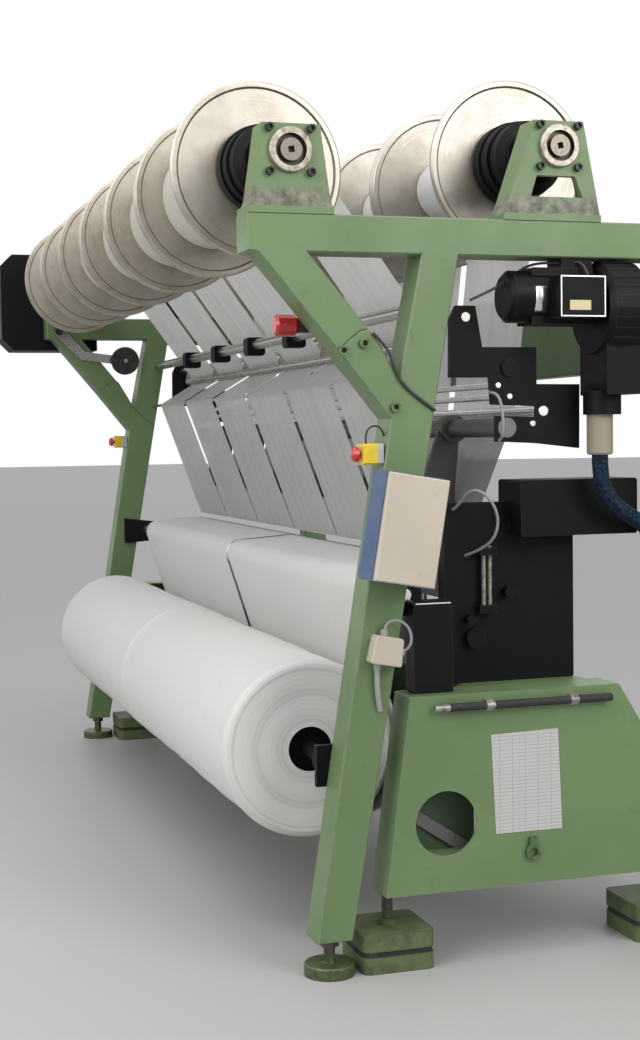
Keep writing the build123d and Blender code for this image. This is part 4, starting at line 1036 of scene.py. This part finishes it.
@dataclass
class Cloth:
    """Two cloth webs from the knitting line to the batch roll, and the roll itself."""

    shop: Workshop
    webs: int = 2
    slit: float = 0.034
    columns: int = 60
    step: float = 0.02
    sag: float = 0.0025
    thickness: float = 0.0012
    clearance: float = 0.0012
    needle_y: float = 0.036
    needle_drop: float = 0.003
    guide_radius: float = 0.055
    takedown_radius: float = 0.058
    roll_segments: int = 128
    roll_rows: int = 70
    roll_turns: int = 34
    edge_round: float = 0.030
    end_gap: float = 0.002

    def wraps(self) -> list[Wrap]:
        """Path of the cloth from the needles over the rollers to the batch roll.

        Returns:
            The wraps of the path.
        """
        _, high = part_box("fabric_web")
        path = [(self.needle_y, high[2] - self.needle_drop, 0.0, 1)]
        for node, radius, sense in (("guide_roller", self.guide_radius, 1),
                                    ("takedown_roller_upper", self.takedown_radius, 1),
                                    ("takedown_roller_lower", self.takedown_radius, -1),
                                    ("batch_roll", radius_of("batch_roll"), -1)):
            middle = centre(node)
            path.append((middle.y, middle.z, radius + self.clearance, sense))
        return path

    def build_webs(self) -> None:
        """Build the two webs side by side as one sheet piece with a slit between them."""
        low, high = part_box("fabric_web")
        width = (high[0] - low[0] - self.slit) / self.webs
        line = band_line(self.wraps(), self.step)
        points = []
        faces = []
        for web in range(self.webs):
            start_x = low[0] + web * (width + self.slit)
            faces += grid_faces(len(points), len(line), self.columns)
            for row, (y, z, slack) in enumerate(line):
                ahead = line[min(row + 1, len(line) - 1)]
                behind = line[max(row - 1, 0)]
                run = math.hypot(ahead[0] - behind[0], ahead[1] - behind[1]) or 1.0
                across_y, across_z = -(ahead[1] - behind[1]) / run, (ahead[0] - behind[0]) / run
                for column in range(self.columns):
                    x = start_x + width * column / (self.columns - 1)
                    lift = self.sag * slack * math.sin(x * 9.0 + web + 0.8 * math.sin(x * 3.1))
                    points.append((x, y + lift * across_y, z + lift * across_z))
        cloth = self.shop.mesh("cloth_webs", points, faces, CLOTH)
        self.shop.thicken(cloth, self.thickness, 0.0)
        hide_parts("fabric_web")

    def roll_outline(self, length: float, radius: float, core: float) -> Outline:
        """Half outline of one wound roll, from the core at its end to the middle groove.

        Args:
            length: Length of the roll.
            radius: Outer radius.
            core: Radius of the core.

        Returns:
            (distance, radius) points.
        """
        face = []
        for turn in range(self.roll_turns + 1):
            share = turn / self.roll_turns
            ripple = 0.0002 * math.sin(turn * 2.1) + 0.0004 * math.sin(turn * 0.4)
            face.append((2 * self.end_gap + ripple, core + share * (radius - self.edge_round - core)))
        angles = [math.pi / 2 * part / 6 for part in range(1, 7)]
        corner = [(self.edge_round * (1 - math.cos(angle)) + self.end_gap,
                   radius - self.edge_round * (1 - math.sin(angle))) for angle in angles]
        body = [(self.edge_round + (length - 2 * self.edge_round) * part / self.roll_rows, radius)
                for part in range(1, self.roll_rows)]
        groove = [(length - distance, level) for distance, level in reversed(corner)]
        return face + corner + body + groove + [(length - self.end_gap, core)]

    def unevenness(self, x: float, angle: float) -> float:
        """How far the wound surface stands off a true cylinder, always a little below it."""
        return 0.0016 * math.sin(2 * angle + x * 5.0) + 0.0012 * math.sin(x * 21.0 + angle) - 0.003

    def build_roll(self) -> None:
        """Build the wound roll of both webs, soft at its edges and slightly uneven."""
        low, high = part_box("batch_roll")
        middle = centre("batch_roll")
        radius = radius_of("batch_roll")
        length = (high[0] - low[0]) / 2
        outline = self.roll_outline(length - self.end_gap, radius, radius_of("batch_shaft") + 0.0005)
        count = self.roll_segments
        points = []
        faces = []
        for start_x, sense in ((low[0], 1), (high[0], -1)):
            start = len(points)
            for distance, level in outline:
                x = start_x + sense * distance
                for part in range(count):
                    angle = math.tau * part / count
                    wave = self.unevenness(x, angle) if level > radius - 0.001 else 0.0
                    reach = level + wave
                    points.append((x, middle.y + reach * math.cos(angle), middle.z + reach * math.sin(angle)))
            for corner in range(start, start + (len(outline) - 1) * count, count):
                for part in range(count):
                    following = (part + 1) % count
                    quad = (corner + part, corner + following, corner + count + following,
                            corner + count + part)
                    faces.append(quad if sense < 0 else quad[::-1])
        roll = self.shop.mesh("cloth_roll", points, faces, CLOTH, body="batch")
        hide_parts("batch_roll")


@dataclass
class SuctionHose:
    """Braided hose from the blower pipe down to its socket on the bed."""

    shop: Workshop
    diameter: float = 0.050
    blower_x: float = 2.055
    pipe_y: float = 0.432
    pipe_bottom: float = 1.513
    length: float = 1.25
    socket: Point = (2.004, 0.655, 0.350)

    def route(self) -> list[Point]:
        """Points of the hose's route, as in the solid model.

        Returns:
            Control points from the pipe to the socket.
        """
        x, y, z = self.blower_x, self.pipe_y, self.pipe_bottom
        return [
            (x, y, z),
            (x, y, z - 0.070),
            (x - 0.003, y + 0.030, z - 0.137),
            (x - 0.009, y + 0.098, z - 0.187),
            (x - 0.019, y + 0.172, z - 0.223),
            (x - 0.029, y + 0.202, z - 0.303),
            (x - 0.037, y + 0.208, z - 0.433),
            (x - 0.043, self.socket[1] - 0.008, z - 0.613),
            (x - 0.047, self.socket[1] - 0.003, z - 0.813),
            (self.socket[0], self.socket[1], z - 1.013),
            self.socket,
        ]

    def build(self) -> None:
        """Build the hose as a curve along its route."""
        route = self.route()
        hose = self.shop.tube("suction_hose_braid", route, self.diameter, HOSE)
        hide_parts("suction_hose")


@dataclass
class EndHousingTrim:
    """Form sheet and rest bar grip on the near end housing, and what shows behind its hand hole."""

    shop: Workshop
    face_x: float = 2.114
    form_gap: float = 0.0004
    form_thickness: float = 0.0012
    grip_x: float = 2.133
    grip_z: float = 0.778
    grip_spans: Outline = field(default_factory=lambda: [(-0.103, 0.013), (0.041, 0.288), (0.316, 0.426)])
    grip_diameter: float = 0.025
    plate_depth: float = 0.100
    plate_thickness: float = 0.004
    bar_depth: float = 0.093
    bar_thickness: float = 0.008

    def form_sheet(self) -> None:
        """Fix the paper form to the housing."""
        outline = [(0.050, 0.385), (0.268, 0.384), (0.256, 0.691), (0.036, 0.685)]
        self.shop.prism("form_sheet", outline, self.face_x + self.form_gap, self.form_thickness, FORM,
                        bevel=0.0003)

    def grip(self) -> None:
        """Wrap the rest bar in its black grip, in three lengths between the clips."""
        for number, (start, end) in enumerate(self.grip_spans, 1):
            route = [(self.grip_x, start, self.grip_z), (self.grip_x, end, self.grip_z)]
            grip = self.shop.tube("rest_bar_grip_%d" % number, route, self.grip_diameter, RUBBER)

    def behind_hole(self) -> None:
        """Set the plate, painted in a shaded copy of the machine green, and the slanting flat bar behind the
        hand hole.
        """
        outline = [(-0.215, 0.285), (0.020, 0.285), (0.020, 0.535), (-0.215, 0.535)]
        plate = self.shop.prism("inner_plate", outline, self.face_x - self.plate_depth,
                                self.plate_thickness, SHADED_GREEN)
        outline = [(-0.197, 0.430), (0.010, 0.292), (0.010, 0.337), (-0.197, 0.475)]
        bar = self.shop.prism("slanting_bar", outline, self.face_x - self.bar_depth, self.bar_thickness,
                              GREY_BAR)

    def build(self) -> None:
        """Build all of it."""
        self.form_sheet()
        self.grip()
        self.behind_hole()


@dataclass(frozen=True)
class LooseCable:
    """A cable that hangs free between its two ends."""

    name: str
    length: float
    route: tuple[Point, ...]
    diameter: float = 0.009
    finish: Moulded = GREY_CABLE

    def build(self, shop: Workshop) -> None:
        """Lay the cable along its route.

        Args:
            shop: Workshop that makes and dresses the tube.
        """
        cable = shop.tube(self.name, self.route, self.diameter, self.finish)


JUNCTION_LOOP = LooseCable("junction_loop", 0.20, (
    (2.137, -0.306, 1.002), (2.137, -0.306, 1.038), (2.139, -0.262, 1.050), (2.139, -0.224, 1.018),
    (2.137, -0.222, 0.962), (2.137, -0.256, 0.950)), diameter=0.008)
RAIL_CABLE = LooseCable("rail_cable", 0.20, (
    (1.992, 0.093, 1.707), (2.030, 0.100, 1.706), (2.040, 0.112, 1.672), (2.042, 0.116, 1.625),
    (2.038, 0.118, 1.590), (2.022, 0.120, 1.566), (1.997, 0.122, 1.562)))
STOP_CABLE = LooseCable("stop_cable", 0.107, (
    (2.077, -0.334, 1.558), (2.077, -0.336, 1.585), (2.077, -0.323, 1.606), (2.077, -0.301, 1.611),
    (2.077, -0.284, 1.599), (2.077, -0.2785, 1.580)), diameter=0.006, finish=DARK_CABLE)
PATTERN_CABLE = LooseCable("pattern_cable", 0.42, (
    (1.894, 0.010, 1.350), (1.930, 0.014, 1.362), (1.966, 0.030, 1.408), (1.994, 0.060, 1.412),
    (2.000, 0.100, 1.372), (2.000, 0.118, 1.319), (1.992, 0.108, 1.264), (1.950, 0.080, 1.226),
    (1.894, 0.050, 1.206)))


@dataclass
class Wiring:
    """Cables and conduits clipped to the near frame, the junction box, the blower and the drives."""

    shop: Workshop
    frame_cable_x: float = 2.119
    frame_cable_diameter: float = 0.009
    blower_cable_diameter: float = 0.008
    conduit_diameter: float = 0.016
    gland_diameter: float = 0.022
    gland_inside: float = 0.010
    gland_outside: float = 0.016

    def frame_cable(self) -> None:
        """Cable that runs down the brace joint of the near frame."""
        line = [(-0.323, 1.876), (-0.276, 1.830), (-0.267, 1.797), (-0.245, 1.743), (-0.218, 1.714),
                (-0.182, 1.686), (-0.133, 1.652)]
        route = [(self.frame_cable_x, y, z) for y, z in line]
        cable = self.shop.tube("frame_cable", route, self.frame_cable_diameter, DARK_CABLE)

    def gland(self, number: int, place: Point, axis: Point) -> None:
        """Make a cable gland of the junction box.

        Args:
            number: Number of the gland.
            place: Where it passes the box's wall.
            axis: Direction in which it points.
        """
        ends = [tuple(start + reach * step for start, step in zip(place, axis))
                for reach in (-self.gland_inside, self.gland_outside)]
        self.shop.tube("junction_gland_%d" % number, ends, self.gland_diameter, GREY_CABLE)

    def junction(self) -> None:
        """Conduit, glands and the short loop at the junction box."""
        route = [(2.128, -0.326, 0.918), (2.128, -0.327, 0.885), (2.126, -0.324, 0.822),
                 (2.119, -0.315, 0.781)]
        self.shop.tube("junction_conduit", route, self.conduit_diameter, GREY_CABLE)
        JUNCTION_LOOP.build(self.shop)
        self.gland(1, (2.137, -0.306, 1.004), (0.0, 0.0, 1.0))
        self.gland(2, (2.128, -0.326, 0.914), (0.0, 0.0, 1.0))
        self.gland(3, (2.137, -0.262, 0.951), (0.0, 1.0, 0.0))

    def blower(self) -> None:
        """Cable from the post along the beam's underside into the blower's terminal box."""
        route = [(2.055, 0.006, 1.979), (2.055, 0.071, 2.007), (2.060, 0.121, 2.035),
                 (2.070, 0.195, 2.092), (2.090, 0.306, 2.088), (2.120, 0.350, 2.094),
                 (2.135, 0.357, 2.040)]
        cable = self.shop.tube("blower_cable", route, self.blower_cable_diameter, DARK_CABLE)

    def build(self) -> None:
        """Build all of it."""
        self.frame_cable()
        self.junction()
        self.blower()
        for cable in (RAIL_CABLE, STOP_CABLE, PATTERN_CABLE):
            cable.build(self.shop)


@dataclass
class BlowerPlates:
    """Bare rating plates on the blower, and rubbed edges of its terminal box and of the gear box."""

    shop: Workshop
    box_x: float = 2.185
    gear_x: float = 2.072
    edge_width: float = 0.0035
    plate_thickness: float = 0.001
    bare_thickness: float = 0.0012
    motor_x: float = 2.055
    motor_z: float = 1.990
    motor_radius: float = 0.078
    motor_plate_y: tuple[float, float] = (0.185, 0.223)
    motor_plate_from: float = -38.0
    motor_plate_turn: float = 58.0
    steps: int = 10

    def edging(self, name: str, y_span: tuple[float, float], z_span: tuple[float, float], x: float) -> None:
        """Make a thin bare rectangle that runs round a face.

        Args:
            name: Name of the piece.
            y_span: Where the rectangle starts and ends along Y.
            z_span: Where it starts and ends along Z.
            x: Where the face lies.
        """
        corners = ((0, 0), (1, 0), (1, 1), (0, 1))
        ring = [(y_span[right] + inset * (1 - 2 * right), z_span[top] + inset * (1 - 2 * top))
                for inset in (0.0, self.edge_width) for right, top in corners]
        points = [(x + rise, y, z) for rise in (0.0, self.bare_thickness) for y, z in ring]
        faces = []
        for corner in range(4):
            after = (corner + 1) % 4
            faces.append((8 + corner, 8 + after, 12 + after, 12 + corner))
            faces.append((corner, 4 + corner, 4 + after, after))
            faces.append((corner, after, 8 + after, 8 + corner))
            faces.append((4 + corner, 12 + corner, 12 + after, 4 + after))
        self.shop.mesh(name, points, faces, PLATE_SILVER, smooth=False)

    def motor_plate(self) -> None:
        """Wrap the motor's rating plate round its shell."""
        radius = self.motor_radius + self.bare_thickness
        points = []
        for step in range(self.steps + 1):
            angle = math.radians(self.motor_plate_from + self.motor_plate_turn * step / self.steps)
            points += [(self.motor_x + radius * math.cos(angle), y, self.motor_z + radius * math.sin(angle))
                       for y in self.motor_plate_y]
        faces = [(corner, corner + 1, corner + 3, corner + 2) for corner in range(0, 2 * self.steps, 2)]
        plate = self.shop.mesh("motor_plate", points, faces, PLATE_SILVER)
        self.shop.thicken(plate, self.plate_thickness, 1.0)

    def build(self) -> None:
        """Build the plates and the bare edges."""
        outline = [(0.269, 1.943), (0.338, 1.943), (0.338, 1.972), (0.269, 1.972)]
        self.shop.prism("terminal_plate", outline, self.box_x, self.plate_thickness, PLATE_YELLOW,
                        bevel=0.0003)
        self.edging("terminal_edging", (0.240, 0.386), (1.924, 2.044), self.box_x)
        outline = [(-0.184, 1.0800), (-0.072, 1.0800), (-0.072, 1.0835), (-0.184, 1.0835)]
        self.shop.prism("gear_box_edge", outline, self.gear_x, self.bare_thickness, PLATE_SILVER,
                        bevel=0.0003)
        self.motor_plate()


@dataclass(frozen=True)
class AreaLamp:
    """Square soft lamp that faces a point of the machine."""

    name: str
    place: Point
    aim: Point
    size: float
    power: float

    def hang(self) -> None:
        """Hang the lamp."""
        data = bpy.data.lights.new(self.name, "AREA")
        data.size = self.size
        data.energy = self.power
        lamp = bpy.data.objects.new(self.name, data)
        lamp.location = self.place
        towards = Vector(self.aim) - Vector(self.place)
        lamp.rotation_euler = towards.to_track_quat("-Z", "Y").to_euler()
        bpy.context.scene.collection.objects.link(lamp)


@dataclass
class Studio:
    """Pale floor, soft lights and the camera at the photographed viewpoint."""

    eye: Point = (6.4928, -1.8688, 1.5816)
    yaw: float = 17.491
    pitch: float = 2.987
    roll: float = -0.799
    focal_px: float = 1605.638
    image_height_px: float = 1040.0
    sensor: float = 36.0
    floor_reach: float = 90.0
    floor_shade: Colour = (0.42, 0.42, 0.41)
    fill: Colour = (0.80, 0.82, 0.85)
    fill_strength: float = 0.33
    roof_strength: float = 1.05
    roof_angle: float = 60.0
    roof_tilt: tuple[float, float] = (12.0, 8.0)
    lamps: tuple[AreaLamp, ...] = (
        AreaLamp("ceiling_lamp", (1.0, -1.0, 5.5), (0.0, 0.0, 0.8), 7.0, 120.0),
        AreaLamp("front_lamp", (4.5, -5.5, 4.0), (0.5, 0.0, 1.0), 4.0, 190.0),
        AreaLamp("end_lamp", (6.5, 2.5, 4.2), (1.5, 0.0, 1.4), 3.0, 170.0),
    )

    def camera(self) -> None:
        """Place the camera."""
        yaw, pitch, roll = (math.radians(angle) for angle in (self.yaw, self.pitch, self.roll))
        level = math.cos(pitch)
        forward = Vector((-math.cos(yaw) * level, math.sin(yaw) * level, -math.sin(pitch)))
        right = forward.cross(Vector((0.0, 0.0, 1.0))).normalized()
        up = right.cross(forward)
        tilted_right = right * math.cos(roll) + up * math.sin(roll)
        tilted_up = up * math.cos(roll) - right * math.sin(roll)
        data = bpy.data.cameras.new("camera")
        data.sensor_fit = "VERTICAL"
        data.sensor_height = self.sensor
        data.lens = self.focal_px / self.image_height_px * self.sensor
        data.clip_end = 100.0
        camera = bpy.data.objects.new("camera", data)
        bpy.context.scene.collection.objects.link(camera)
        matrix = camera.matrix_world.to_3x3()
        for row in range(3):
            matrix[row][0] = tilted_right[row]
            matrix[row][1] = tilted_up[row]
            matrix[row][2] = -forward[row]
        camera.matrix_world = matrix.to_4x4()
        camera.location = self.eye
        bpy.context.scene.camera = camera

    def floor(self) -> None:
        """Lay the pale floor."""
        graph = Graph("pale_floor")
        graph.shader.inputs["Base Color"].default_value = (*self.floor_shade, 1.0)
        graph.constants(Roughness=0.55)
        reach = self.floor_reach
        data = bpy.data.meshes.new("floor")
        corners = [(-reach, -reach, 0.0), (reach, -reach, 0.0), (reach, reach, 0.0), (-reach, reach, 0.0)]
        data.from_pydata(corners, [], [(0, 1, 2, 3)])
        data.materials.append(graph.material)
        floor = bpy.data.objects.new("floor", data)
        bpy.context.scene.collection.objects.link(floor)

    def room(self) -> None:
        """Fill the room with even light, and show it white to the camera, in mirrors and through glass."""
        world = bpy.data.worlds.new("room")
        world.use_nodes = True
        tree = world.node_tree
        soft = tree.nodes["Background"]
        soft.inputs["Color"].default_value = (*self.fill, 1.0)
        soft.inputs["Strength"].default_value = self.fill_strength
        seen = tree.nodes.new("ShaderNodeBackground")
        seen.inputs["Color"].default_value = (1.0, 1.0, 1.0, 1.0)
        path = tree.nodes.new("ShaderNodeLightPath")
        blend = tree.nodes.new("ShaderNodeMixShader")
        either = path.outputs["Is Camera Ray"]
        for kind in ("Is Glossy Ray", "Is Transmission Ray"):
            step = tree.nodes.new("ShaderNodeMath")
            step.operation = "MAXIMUM"
            tree.links.new(either, step.inputs[0])
            tree.links.new(path.outputs[kind], step.inputs[1])
            either = step.outputs["Value"]
        tree.links.new(either, blend.inputs["Fac"])
        tree.links.new(soft.outputs["Background"], blend.inputs[1])
        tree.links.new(seen.outputs["Background"], blend.inputs[2])
        tree.links.new(blend.outputs["Shader"], tree.nodes["World Output"].inputs["Surface"])
        bpy.context.scene.world = world

    def roof_light(self) -> None:
        """Shine broad soft daylight down from the roof."""
        data = bpy.data.lights.new("roof_light", "SUN")
        data.energy = self.roof_strength
        data.angle = math.radians(self.roof_angle)
        lamp = bpy.data.objects.new("roof_light", data)
        lamp.rotation_euler = (*(math.radians(tilt) for tilt in self.roof_tilt), 0.0)
        bpy.context.scene.collection.objects.link(lamp)

    def build(self) -> None:
        """Set up the whole studio."""
        self.camera()
        self.floor()
        self.room()
        for lamp in self.lamps:
            lamp.hang()
        self.roof_light()
        bpy.context.scene.view_settings.view_transform = "Standard"


def main() -> None:
    """Build the studio, then dress the machine sub-assembly by sub-assembly."""
    logging.basicConfig(level=logging.INFO, format="%(name)s: %(message)s")
    Studio().build()
    shop = Workshop()
    SuctionHose(shop).build()
    shop.dress_nodes()
    YarnSheets(shop).build()
    cloth = Cloth(shop)
    cloth.build_webs()
    cloth.build_roll()
    EndHousingTrim(shop).build()
    Wiring(shop).build()
    BlowerPlates(shop).build()


if __name__ == "__main__":
    main()
